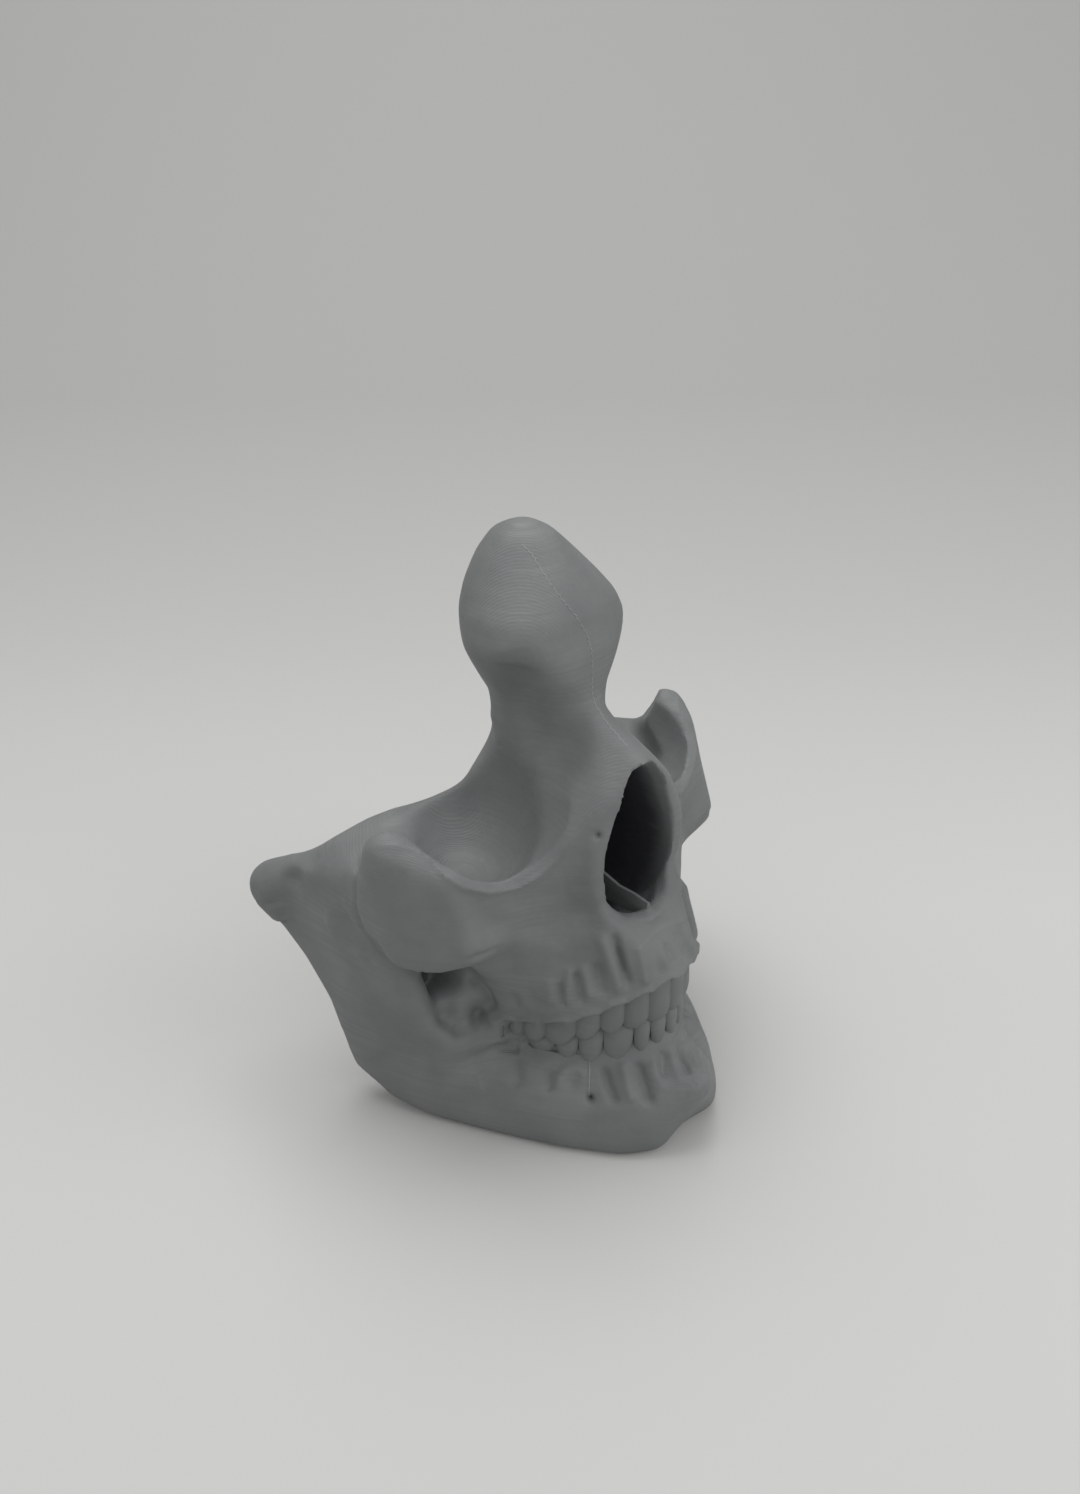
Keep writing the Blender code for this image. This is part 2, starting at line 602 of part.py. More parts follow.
def jaw_region(name, gum_shares, back_shares, amount):
    """All that lies below a gum line and below the seam over the jaw's branch."""
    region = prism(name, grown(side_outline(gum_shares + back_shares), amount), 0, -CUT_REACH, CUT_REACH)
    for share, seam in ((BRANCH_INNER_SHARE, BRANCH_SEAM_SHARES), (LEDGE_INNER_SHARE, LEDGE_SEAM_SHARES)):
        inner = share * FACE_HALF_WIDTH - amount
        for side in (-1, 1):
            reach = sorted((side * inner, side * CUT_REACH))
            wing = prism(name + "_wing", grown(side_outline(seam), amount), 0, reach[0], reach[1])
            combined(region, wing, "UNION")
    return region


def largest_body(thing):
    """Keeps the largest connected piece of the mesh, and drops slivers that a cut has left."""
    bm = bmesh.new()
    bm.from_mesh(thing.data)
    bmesh.ops.remove_doubles(bm, verts=bm.verts, dist=WELD)
    bmesh.ops.dissolve_degenerate(bm, edges=bm.edges, dist=WELD)
    left = set(bm.verts)
    bodies = []
    while left:
        front = [left.pop()]
        body = list(front)
        while front:
            vert = front.pop()
            for edge in vert.link_edges:
                other = edge.other_vert(vert)
                if other in left:
                    left.remove(other)
                    front.append(other)
                    body.append(other)
        bodies.append(body)
    bodies.sort(key=len)
    for body in bodies[:-1]:
        bmesh.ops.delete(bm, geom=body, context="VERTS")
    bmesh.ops.triangulate(bm, faces=bm.faces)
    bm.to_mesh(thing.data)
    bm.free()
    return thing


def copy_of(thing, name):
    return new_object(name, thing.data.copy())


def part_off(rest, name, outline_of, axis, low, high):
    """Takes the piece inside a region off the rest, with half of the seam's gap on either side of it."""
    inside = prism(name + "_inside", outline_of(-SEAM_GAP / 2), axis, low, high)
    outside = prism(name + "_outside", outline_of(SEAM_GAP / 2), axis, low, high)
    piece = copy_of(rest, name)
    combined(piece, inside, "INTERSECT")
    combined(rest, outside, "DIFFERENCE")
    return largest_body(piece)


def nose_cutter():
    floor = NOSE_FLOOR_SHARE * FACE_HEIGHT
    margin = NOSE_MARGIN_SHARE * FACE_DEPTH
    right = [(NOSE_HALF_WIDTH * across, NOSE_HEIGHT * up) for across, up in NOSE_OUTLINE_SHARES]
    left = [(-across, up) for across, up in reversed(right) if across > 0]
    rings = []
    for depth, width, height, drop in NOSE_FUNNEL_SHARES:
        place = margin + depth * NOSE_DEPTH
        level = floor - drop * NOSE_HEIGHT
        rings.append([Vector((across * width, place, level + up * height)) for across, up in right + left])
    return object_from("nose_cutter", loft(rings), helper=True)


def height_on(line, place):
    """The height of a line drawn from the side, at a place along the depth."""
    share = min(max(place / FACE_DEPTH, line[0][0]), line[-1][0])
    for (near, low), (far, high) in zip(line, line[1:]):
        if share <= far:
            break
    return (low + (high - low) * (share - near) / (far - near)) * FACE_HEIGHT


def arch_places():
    """Places along half of the gum's outer edge, each with the length walked to it from the middle."""
    centre = ARCH_CENTRE_SHARE * FACE_DEPTH
    half_width = ARCH_WIDTH_SHARE * FACE_HALF_WIDTH
    length = ARCH_LENGTH_SHARE * FACE_DEPTH
    places = []
    run = 0.0
    for i in range(ARCH_STEPS + 1):
        angle = math.pi / 2 * i / ARCH_STEPS
        place = Vector((half_width * math.sin(angle), centre - length * math.cos(angle)))
        if places:
            run += (place - places[-1][1]).length
        places.append((run, place))
    return places


ARCH = arch_places()


def on_arch(run, inset):
    """The place that far round the arch and that far in from the gum's edge, and the direction along it."""
    walk = min(max(run, 0.0), ARCH[-2][0])
    k = next(k for k in range(len(ARCH) - 1) if ARCH[k + 1][0] > walk)
    (near, first), (far, second) = ARCH[k], ARCH[k + 1]
    along = (second - first).normalized()
    place = first + along * (run - near)
    inward = Vector((-along.y, along.x))
    return place + inward * inset, along


def tooth_rings(row, run, width, depth, corner):
    """Rings of one tooth from the tip of its root to its biting edge."""
    gum, up, setback = row
    inset = GUM_LIP + setback + depth / 2
    middle, along = on_arch(run, inset)
    inward = Vector((-along.y, along.x))
    turns = [math.tau * (i + 0.5) / CROWN_POINTS for i in range(CROWN_POINTS)]
    root_radius = ROOT_WIDTH_SHARE * width

    def root_ring(radius, height_at):
        ring = []
        for turn in turns:
            place = middle + along * radius * math.sin(turn) - inward * radius * math.cos(turn)
            ring.append(Vector((place.x, place.y, height_at(place.y))))
        return ring

    def neck(place):
        return height_on(gum, place) - up * CROWN_GAP

    tip = height_on(gum, middle.y) + up * ROOT_LENGTH
    rings = [root_ring(root_radius * ROOT_TIP_SHARE, lambda place: tip), root_ring(root_radius, neck)]
    for share, wide, deep in CROWN_SHARES:
        ring = []
        for turn in turns:
            across = rounded(math.sin(turn), CROWN_SQUARENESS)
            outward = rounded(math.cos(turn), CROWN_SQUARENESS)
            place = on_arch(run + across * wide * width / 2, inset - outward * deep * depth / 2)[0]
            bite = height_on(BITE_SHARES, place.y) + (up * CROWN_GAP if up < 0 else 0.0)
            level = share - corner * abs(across) * share ** 5
            ring.append(Vector((place.x, place.y, neck(place.y) + (bite - neck(place.y)) * level)))
        rings.append(ring)
    return rings


def root_socket_rings(row, run, width, depth):
    """Rings of the hole that the root goes into, from its bottom out past the gum."""
    gum, up, setback = row
    middle, along = on_arch(run, GUM_LIP + setback + depth / 2)
    inward = Vector((-along.y, along.x))
    radius = ROOT_WIDTH_SHARE * width
    edge = height_on(gum, middle.y)
    levels = [
        (edge + up * (ROOT_LENGTH + ROOT_CLEARANCE), radius * ROOT_TIP_SHARE + ROOT_CLEARANCE),
        (edge, radius + ROOT_CLEARANCE),
        (edge - up * ROOT_LENGTH, radius + ROOT_CLEARANCE),
    ]
    rings = []
    for height, reach in levels:
        ring = []
        for i in range(CROWN_POINTS):
            turn = math.tau * (i + 0.5) / CROWN_POINTS
            place = middle + along * reach * math.sin(turn) - inward * reach * math.cos(turn)
            ring.append(Vector((place.x, place.y, height)))
        rings.append(ring)
    return rings


def flipped(rings, side):
    return [[mirrored(point, side) for point in ring] for ring in rings]


def set_teeth(prefix, table, row, bone):
    """Makes one row of teeth and sinks a socket for each root into the bone that carries it."""
    sockets = bmesh.new()
    run = 0.0
    teeth = []
    for name, width_share, depth_share, corner in table:
        width = width_share * ARCH[-1][0]
        depth = depth_share * TOOTH_DEPTH
        middle = run + width / 2
        run += width
        wide = width - CROWN_GAP
        for side, side_name in ((-1, "right"), (1, "left")):
            rings = flipped(tooth_rings(row, middle, wide, depth, corner), side)
            teeth.append(object_from(prefix + "_" + name + "_" + side_name, loft(rings)))
            add_to(sockets, loft(flipped(root_socket_rings(row, middle, wide, depth), side)))
    combined(bone, object_from(prefix + "_socket_cutter", sockets, helper=True), "DIFFERENCE")
    return teeth


def crest_height(depth):
    """The height of the ridge along the middle of the nose's floor, that far in."""
    for (near, _, first, drop), (far, _, last, drop_last) in zip(NOSE_FUNNEL_SHARES, NOSE_FUNNEL_SHARES[1:]):
        if depth <= far:
            break
    part = (depth - near) / (far - near)
    crest = NOSE_OUTLINE_SHARES[0][1] * (first + (last - first) * part)
    return NOSE_FLOOR_SHARE * FACE_HEIGHT + (crest - drop - (drop_last - drop) * part) * NOSE_HEIGHT


def septum():
    """The thin blade that stands on the ridge, drawn from the side and given its thickness."""
    margin = NOSE_MARGIN_SHARE * FACE_DEPTH
    below = []
    above = []
    for depth, up in SEPTUM_OUTLINE_SHARES:
        place = margin + depth * NOSE_DEPTH
        level = crest_height(depth) + SEAM_GAP
        below.append((place, level))
        above.append((place, level + up * SEPTUM_HEIGHT))
    blade = prism("vomer", below + above[::-1], 0, -SEPTUM_THICKNESS / 2, SEPTUM_THICKNESS / 2)
    blade.hide_render = False
    blade.display_type = "TEXTURED"
    return blade


def sculpt():
    """The whole form in one skin."""
    whole = bmesh.new()
    add_plates(whole)
    add_to(whole, loft(column_rings()))
    thing = object_from("sculpt", whole)
    smoothed(thing)
    for centre_shares, size_shares in SOCKET_BOWL_SHARES:
        for side in (-1, 1):
            combined(thing, bowl_cutter(centre_shares, size_shares, side), "DIFFERENCE")
    smoothed(thing)
    lighter(thing)
    combined(thing, nose_cutter(), "DIFFERENCE")
    below = prism("base_cutter", side_outline(BASE_SHARES), 0, -CUT_REACH, CUT_REACH)
    return combined(thing, below, "DIFFERENCE")


def bones():
    whole = sculpt()
    half = SEAM_GAP / 2
    jaw = copy_of(whole, "mandible")
    combined(jaw, jaw_region("jaw_inside", LOWER_GUM_SHARES, JAW_BACK_SHARES, -half), "INTERSECT")
    largest_body(jaw)
    combined(whole, jaw_region("jaw_outside", UPPER_GUM_SHARES, SKULL_BACK_SHARES, half), "DIFFERENCE")
    whole.name = "maxilla"
    made = [jaw, whole]

    def forehead(amount):
        return grown(side_outline(FOREHEAD_SEAM_SHARES), amount)

    def back(amount):
        places = [(across * FACE_HALF_WIDTH, along * FACE_DEPTH) for across, along in BACK_SEAM_SHARES]
        return grown(places, amount)

    def nasal(amount):
        return grown(side_outline(NASAL_SEAM_SHARES), amount)

    made.append(part_off(whole, "frontal_bone", forehead, 0, -CUT_REACH, CUT_REACH))
    made.append(part_off(whole, "sphenoid_bone", back, 2, -CUT_REACH, CUT_REACH))
    for side, side_name in ((-1, "right"), (1, "left")):

        def cheek(amount, side=side):
            places = [(side * across * FACE_HALF_WIDTH, up * FACE_HEIGHT) for across, up in CHEEK_SEAM_SHARES]
            return grown(places, amount)

        name = "zygomatic_bone_" + side_name
        made.append(part_off(whole, name, cheek, 1, CHEEK_BACK_SHARE * FACE_DEPTH, CUT_REACH))
    nasal_width = NASAL_HALF_WIDTH_SHARE * FACE_HALF_WIDTH
    inside = prism("nasal_inside", nasal(-half), 0, half - nasal_width, nasal_width - half)
    outside = prism("nasal_outside", nasal(half), 0, -nasal_width - half, nasal_width + half)
    nasal_bones = copy_of(whole, "nasal_bones")
    combined(nasal_bones, inside, "INTERSECT")
    combined(whole, outside, "DIFFERENCE")
    made.append(largest_body(nasal_bones))
    return made


def painted(thing):
    material = bpy.data.materials.new(thing.name)
    material.use_nodes = True
    shader = material.node_tree.nodes["Principled BSDF"]
    shader.inputs["Base Color"].default_value = BONE_COLOUR
    shader.inputs["Roughness"].default_value = BONE_ROUGHNESS
    thing.data.materials.clear()
    thing.data.materials.append(material)


def centred(things):
    """Moves everything so that the origin is under the middle of the whole on the table."""
    places = [vert.co for thing in things for vert in thing.data.vertices]
    middle = [(min(place[k] for place in places) + max(place[k] for place in places)) / 2 for k in (0, 1)]
    low = min(place.z for place in places)
    shift = Matrix.Translation(Vector((-middle[0], -middle[1], -low)))
    for thing in things:
        thing.data.transform(shift)


def main():
    clear_scene()
    pieces = bones()
    jaw, upper = pieces[0], pieces[1]
    pieces += set_teeth("upper", UPPER_TEETH_SHARES, (UPPER_GUM_SHARES, 1, 0.0), upper)
    pieces += set_teeth("lower", LOWER_TEETH_SHARES, (LOWER_GUM_SHARES, -1, LOWER_SETBACK), jaw)
    largest_body(upper)
    largest_body(jaw)
    pieces.append(septum())
    for piece in pieces:
        painted(piece)
    centred(pieces)


main()
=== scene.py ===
"""Looks of the anatomical skull model: one fused, softly sculpted print in matte grey plastic.

The form is built again from the part's own sizes and landmarks, at a finer grain and with no seams between
the bones. The carved detail is then worked into its surface: the swells over the roots of the teeth, the
hollows beside them, the edge of the gum, the pits and the lines that printing leaves. Lengths are in
metres. Work is done in the sculpt's frame, where y is 0 at the chin, and moved to the part's frame last.
"""

import math

import bmesh
import bpy
import numpy as np
from mathutils import Matrix, Vector
from mathutils.bvhtree import BVHTree


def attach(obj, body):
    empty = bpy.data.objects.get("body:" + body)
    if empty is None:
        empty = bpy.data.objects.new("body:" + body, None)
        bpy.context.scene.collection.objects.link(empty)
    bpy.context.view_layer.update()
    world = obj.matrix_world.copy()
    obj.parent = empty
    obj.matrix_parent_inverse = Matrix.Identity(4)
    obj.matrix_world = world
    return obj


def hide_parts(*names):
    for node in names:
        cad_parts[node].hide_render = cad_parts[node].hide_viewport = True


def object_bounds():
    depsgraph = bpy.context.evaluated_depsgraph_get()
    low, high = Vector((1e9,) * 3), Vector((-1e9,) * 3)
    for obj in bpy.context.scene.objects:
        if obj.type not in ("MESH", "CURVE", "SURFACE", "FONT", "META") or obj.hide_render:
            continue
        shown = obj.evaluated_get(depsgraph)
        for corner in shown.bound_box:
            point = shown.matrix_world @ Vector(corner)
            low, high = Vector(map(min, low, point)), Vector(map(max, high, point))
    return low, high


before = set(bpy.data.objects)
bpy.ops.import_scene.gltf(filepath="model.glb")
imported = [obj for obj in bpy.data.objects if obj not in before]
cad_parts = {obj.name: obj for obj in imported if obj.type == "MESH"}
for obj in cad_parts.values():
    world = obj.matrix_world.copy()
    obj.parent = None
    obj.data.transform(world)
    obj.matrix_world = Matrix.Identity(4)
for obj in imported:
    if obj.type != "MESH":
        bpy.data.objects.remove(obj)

CAD_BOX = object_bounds()

# Sizes of the part
FACE_HALF_WIDTH = 0.050
FACE_DEPTH = 0.100
FACE_HEIGHT = 0.100
BONE_THICKNESS = 0.010
COLUMN_HEIGHT = 0.0534
COLUMN_HALF_WIDTH = 0.0205
COLUMN_DEPTH = 0.036
COLUMN_FACE_SHARE = 0.405
RING_POINTS = 48
NOSE_HALF_WIDTH = 0.0123
NOSE_HEIGHT = 0.0428
NOSE_FLOOR_SHARE = 0.607
NOSE_MARGIN_SHARE = 0.260
SOCKET_HALF_WIDTH = 0.0165
SOCKET_HALF_DEPTH = 0.0225
SOCKET_BOWL_DEPTH = 0.021
ARCH_CENTRE_SHARE = 0.58
ARCH_WIDTH_SHARE = 0.60
ARCH_LENGTH_SHARE = 0.47
ARCH_STEPS = 180
TOOTH_DEPTH = 0.0084
GUM_LIP = 0.0014
LOWER_SETBACK = 0.0009
NOSE_FLOOR = NOSE_FLOOR_SHARE * FACE_HEIGHT
NOSE_MARGIN = NOSE_MARGIN_SHARE * FACE_DEPTH
HINGE_REAR = 0.110  # the sculpt's rearmost place
BALL_GRAIN, BOWL_GRAIN = 2, 5  # how often the faces of a ball and of a bowl are divided


def rows(text):
    """The rows of a table written as text, each as its words. A row that begins with # is a heading."""
    return [line.split() for line in text.strip().splitlines() if not line.startswith("#")]


# Landmarks: shares of the face's half width, depth and height, and a radius as a share of BONE_THICKNESS
LANDMARKS = rows("""
# lower border of the jaw, from the chin to the angle
chin_base 0 0.13 0.05 0.6
chin_corner 0.17 0.135 0.05 0.58
border_1 0.27 0.18 0.045 0.6
border_2 0.43 0.3 0.045 0.6
border_3 0.58 0.445 0.045 0.6
border_4 0.76 0.62 0.05 0.6
angle 0.85 0.695 0.07 0.6
# outer swell of the jaw's body
chin_boss 0 0.076 0.175 0.66
chin_side 0.1 0.096 0.135 0.58
chin_dent_0 0 0.138 0.235 0.52
chin_dent_1 0.15 0.17 0.225 0.52
chin_dent_2 0.28 0.23 0.215 0.52
body_1 0.276 0.19 0.145 0.6
body_2 0.45 0.305 0.15 0.6
body_3 0.61 0.45 0.15 0.6
body_4 0.78 0.58 0.17 0.6
# rim of the lower teeth
low_rim_0 0 0.18 0.28 0.52
low_rim_1 0.15 0.203 0.28 0.52
low_rim_2 0.26 0.246 0.27 0.52
low_rim_3 0.36 0.315 0.245 0.52
low_rim_4 0.44 0.41 0.23 0.52
low_rim_5 0.518 0.5 0.218 0.62
low_rim_6 0.64 0.6 0.245 0.55
low_rim_7 0.66 0.68 0.245 0.52
# branch of the jaw
branch_front_1 0.8 0.54 0.29 0.45
branch_front_2 0.9 0.58 0.38 0.42
branch_front_3 0.96 0.59 0.52 0.4
branch_top 0.98 0.64 0.62 0.42
branch_back_1 0.94 0.785 0.12 0.45
branch_back_2 0.97 0.8 0.22 0.45
branch_back_3 0.99 0.83 0.33 0.45
branch_back_4 1.0 0.92 0.43 0.45
branch_back_5 1.01 1.015 0.495 0.45
hinge_knob 1.07 1.04 0.585 0.68
# back ridge and shelf of the skull's side
ridge_1 1.0 0.93 0.665 0.5
ridge_2 0.88 0.85 0.725 0.5
ridge_3 0.72 0.825 0.75 0.5
ridge_4 0.6 0.795 0.765 0.5
ridge_5 0.46 0.74 0.79 0.5
ridge_6 0.34 0.685 0.835 0.5
ridge_7 0.24 0.65 0.87 0.5
shelf_edge_1 1.0 0.81 0.705 0.45
shelf_edge_2 0.99 0.71 0.745 0.45
# cheekbone
cheek_knob 0.98 0.6 0.865 0.63
cheek_knob_front 0.94 0.545 0.845 0.56
cheek_back_top 1.0 0.62 0.79 0.56
cheek_back 1.0 0.62 0.705 0.56
cheek_low 0.986 0.545 0.625 0.56
cheek_low_front 0.91 0.48 0.63 0.56
cheek_front 0.84 0.425 0.655 0.53
# rim of the eye socket
rim_outer 0.84 0.475 0.813 0.48
rim_low 0.68 0.435 0.775 0.48
rim_inner 0.54 0.41 0.77 0.5
rim_nose 0.4 0.375 0.805 0.48
# nose
nose_bridge 0 0.458 1.12 0.53
nose_ridge 0 0.39 1.055 0.6
nose_tip 0 0.285 1.002 0.48
nose_side_top 0.19 0.315 0.93 0.48
nose_side 0.27 0.32 0.81 0.5
nose_side_low 0.27 0.325 0.69 0.5
nose_sill 0 0.25 0.585 0.5
nose_spine 0 0.225 0.63 0.2
# upper jaw
up_rim_0 0 0.174 0.49 0.6
up_rim_1 0.15 0.202 0.475 0.6
up_rim_2 0.26 0.241 0.45 0.6
up_rim_3 0.34 0.29 0.42 0.6
up_rim_4 0.406 0.36 0.39 0.6
up_rim_5 0.46 0.45 0.365 0.6
up_rim_6 0.49 0.53 0.355 0.6
upper_1 0.18 0.253 0.6 0.6
upper_2 0.31 0.325 0.58 0.6
upper_3 0.44 0.39 0.54 0.65
upper_4 0.52 0.47 0.5 0.7
upper_5 0.52 0.56 0.5 0.7
cheek_1 0.42 0.39 0.66 0.65
cheek_2 0.58 0.435 0.65 0.7
cheek_3 0.74 0.45 0.67 0.6
strut_1 0.58 0.46 0.54 0.6
strut_2 0.7 0.455 0.61 0.6
# floors and core
palate_front 0 0.3 0.545 0.4
palate_side 0.24 0.32 0.535 0.4
palate_back 0 0.56 0.545 0.4
palate_back_side 0.28 0.56 0.535 0.4
floor_inner 0.4 0.56 0.66 0.65
floor_outer 0.64 0.57 0.65 0.65
floor_edge 0.86 0.57 0.66 0.55
core_top 0 0.44 0.96 1.0
core 0 0.56 0.9 1.1
core_side 0.14 0.58 0.83 0.9
back_top 0 0.66 0.85 0.6
back_mid 0.28 0.66 0.73 0.7
back_low 0 0.66 0.64 0.6
back_low_side 0.36 0.64 0.6 0.6
wing_root 0.56 0.6 0.6 0.55
wing_back 0.61 0.73 0.46 0.4
wing_front 0.61 0.53 0.42 0.4
wing_tip 0.62 0.58 0.315 0.4
wing_tip_back 0.62 0.72 0.315 0.4
""")
LANDMARK_SHARES = {name: [float(number) for number in numbers] for name, *numbers in LANDMARKS}

# Plates between landmarks, one to a row. A bar parts the two sides of a strip, which is a plate between
# each two neighbours of one side and the two across from them.
PLATES = rows("""
chin_base chin_corner border_1 border_2 border_3 | chin_boss chin_side body_1 body_2 body_3
border_3 border_4 angle | body_3 body_4 branch_back_1
chin_boss chin_side chin_dent_0 chin_dent_1
chin_dent_0 chin_dent_1 low_rim_0 low_rim_1
chin_base chin_corner low_rim_0 low_rim_1
chin_side body_1 chin_dent_1 chin_dent_2
chin_dent_1 chin_dent_2 low_rim_1 low_rim_2
body_1 body_2 chin_dent_2 low_rim_3
chin_dent_2 low_rim_2 low_rim_3
body_2 body_3 body_4 | low_rim_3 low_rim_4 low_rim_5
body_4 low_rim_5 branch_front_1 branch_back_1
low_rim_5 low_rim_6 low_rim_7 | body_4 branch_front_1 branch_back_1
branch_front_1 branch_front_2 branch_front_3 | branch_back_1 branch_back_2 branch_back_3
branch_front_3 branch_top | branch_back_3 branch_back_4
branch_top branch_back_4 branch_back_5 ridge_1
branch_back_5 hinge_knob ridge_1
branch_top ridge_1 shelf_edge_1 shelf_edge_2
ridge_1 ridge_2 shelf_edge_1
ridge_2 ridge_3 shelf_edge_1 shelf_edge_2
ridge_3 ridge_4 shelf_edge_2 floor_edge floor_outer
ridge_4 ridge_5 ridge_6 | floor_outer floor_inner back_mid
ridge_6 ridge_7 core_side back_mid
shelf_edge_2 branch_top cheek_back cheek_back_top
cheek_back_top shelf_edge_2 floor_edge
cheek_knob cheek_knob_front cheek_back_top
cheek_knob_front cheek_back_top cheek_back cheek_low
cheek_knob_front rim_outer cheek_low cheek_low_front
rim_outer cheek_low_front cheek_front cheek_3
rim_outer rim_low cheek_3 cheek_2
cheek_front cheek_3 cheek_2 strut_2
rim_low rim_inner rim_nose nose_side | cheek_2 cheek_1 nose_side_low rim_inner
rim_nose nose_side nose_side_top
nose_side_top nose_tip nose_ridge rim_nose
nose_ridge nose_bridge core_top
nose_ridge core_top rim_nose nose_side_top
nose_sill upper_1 up_rim_0 up_rim_1
nose_spine nose_sill
upper_1 upper_2 upper_3 upper_4 upper_5 | up_rim_1 up_rim_2 up_rim_3 up_rim_4 up_rim_5
upper_1 upper_2 upper_3 upper_4 | nose_side_low cheek_1 cheek_2 strut_1
strut_1 strut_2 cheek_2 upper_4
palate_front palate_side nose_sill upper_1
palate_front palate_side palate_back palate_back_side
palate_side palate_back_side upper_3 upper_5 upper_4
cheek_1 cheek_2 floor_inner floor_outer rim_inner
cheek_2 cheek_3 floor_outer floor_edge rim_low
floor_edge cheek_back cheek_low cheek_3
floor_inner floor_outer upper_4 upper_5 wing_root
floor_inner back_mid core_side rim_nose nose_side
core_top core core_side back_top
core_top core_side rim_nose
palate_front palate_side nose_side_low nose_side core_top core palate_back
palate_side palate_back_side palate_back nose_side_low core core_side
palate_back palate_back_side core core_side back_mid back_low floor_inner
core back_top back_mid core_side ridge_7
back_top back_mid back_low back_low_side
back_low back_low_side palate_back palate_back_side
back_mid back_low_side floor_inner floor_outer wing_root
ridge_5 back_mid back_low_side floor_outer
upper_5 up_rim_5 up_rim_6 upper_4
wing_root wing_front wing_back
wing_front wing_back wing_tip wing_tip_back
wing_root wing_front upper_5 up_rim_6
low_rim_6 low_rim_7 branch_front_1 wing_tip wing_tip_back
""")

# Rings of the forehead column: height above the face, half width, front and back as shares of the column's
# own height, half width and depth, and how square its front is
COLUMN_RING_SHARES = [
    (-0.04, 0.6, -0.125, 0.778, 2.0), (0.09, 0.58, -0.055, 0.8, 2.0), (0.21, 0.6, 0.0, 0.86, 2.0),
    (0.3, 0.72, 0.033, 0.917, 2.1), (0.41, 0.88, 0.028, 0.944, 2.5), (0.49, 0.985, 0.036, 0.958, 2.9),
    (0.565, 1.0, 0.064, 0.972, 3.0), (0.655, 0.95, 0.11, 1.0, 2.8), (0.75, 0.8, 0.194, 1.0, 2.3),
    (0.86, 0.575, 0.32, 0.958, 2.0), (0.95, 0.35, 0.444, 0.875, 2.0), (1.0, 0.12, 0.6, 0.72, 2.0),
]

# Lines round the teeth as seen from the side: shares of the face's depth and height
UPPER_GUM_SHARES = [
    (0.09, 0.51), (0.112, 0.498), (0.131, 0.482), (0.167, 0.465), (0.192, 0.45), (0.216, 0.432),
    (0.25, 0.41), (0.272, 0.397), (0.335, 0.37), (0.397, 0.347), (0.47, 0.329), (0.54, 0.316),
]

BITE_SHARES = [
    (0.09, 0.378), (0.133, 0.372), (0.168, 0.363), (0.214, 0.35), (0.248, 0.327), (0.301, 0.297),
    (0.365, 0.286), (0.406, 0.282), (0.47, 0.275), (0.54, 0.27),
]

LOWER_GUM_SHARES = [
    (0.09, 0.304), (0.127, 0.297), (0.181, 0.277), (0.236, 0.258), (0.296, 0.251), (0.367, 0.247),
    (0.445, 0.238), (0.54, 0.234),
]

# Teeth from the middle outwards: width as a share of the arch, depth as a share of a molar's, and how far
# their corners are rounded
UPPER_TEETH_SHARES = [
    ("incisor_1", 0.1307, 0.69, 0.03), ("incisor_2", 0.1176, 0.69, 0.06), ("canine", 0.1078, 0.786, 0.2),
    ("premolar_1", 0.1078, 0.881, 0.18), ("premolar_2", 0.1454, 0.929, 0.26),
    ("molar_1", 0.1095, 1.0, 0.24), ("molar_2", 0.0915, 1.0, 0.12), ("molar_3", 0.0849, 0.929, 0.1),
]

LOWER_TEETH_SHARES = [
    ("incisor_1", 0.1046, 0.619, 0.03), ("incisor_2", 0.0915, 0.619, 0.04),
    ("canine", 0.147, 0.762, 0.16), ("premolar_1", 0.1144, 0.833, 0.16),
    ("premolar_2", 0.1095, 0.857, 0.14), ("molar_1", 0.1405, 0.952, 0.1), ("molar_2", 0.1046, 0.952, 0.1),
    ("molar_3", 0.0849, 0.905, 0.1),
]

# The nose is hollowed deeper and wider here than in the solids: metres behind its margin, share of its
# width, share of its height, and the share of its height by which the floor drops
NOSE_FUNNEL = [
    (-0.03, 1.0, 1.0, 0.0), (0.0008, 1.0, 1.0, 0.0), (0.004, 1.0, 1.01, 0.07), (0.01, 1.05, 1.02, 0.12),
    (0.02, 1.1, 1.04, 0.16), (0.032, 0.98, 0.95, 0.14), (0.037, 0.6, 0.6, 0.04),
]


def at(shares):
    """A place in the sculpt's frame from its shares of the face's three sizes."""
    return Vector((shares[0] * FACE_HALF_WIDTH, shares[1] * FACE_DEPTH, shares[2] * FACE_HEIGHT))


def hull_of(balls):
    """The smooth plate that wraps a few balls, given as (centre, radius)."""
    bm = bmesh.new()
    for centre, radius in balls:
        place = Matrix.Translation(centre)
        bmesh.ops.create_icosphere(bm, subdivisions=BALL_GRAIN, radius=radius, matrix=place)
    made = bmesh.ops.convex_hull(bm, input=bm.verts)
    inside = made["geom_interior"] + made["geom_unused"]
    spare = {item for item in inside if isinstance(item, bmesh.types.BMVert)}
    bmesh.ops.delete(bm, geom=list(spare), context="VERTS")
    return bm


def add_to(whole, piece):
    mesh = bpy.data.meshes.new("piece")
    piece.to_mesh(mesh)
    piece.free()
    whole.from_mesh(mesh)
    bpy.data.meshes.remove(mesh)


def mirrored(place, side):
    return Vector((side * place.x, place.y, place.z))


def plates():
    for row in PLATES:
        if "|" not in row:
            yield row
            continue
        half = row.index("|")
        for k in range(half - 1):
            yield row[k : k + 2] + row[half + 1 + k : half + 3 + k]


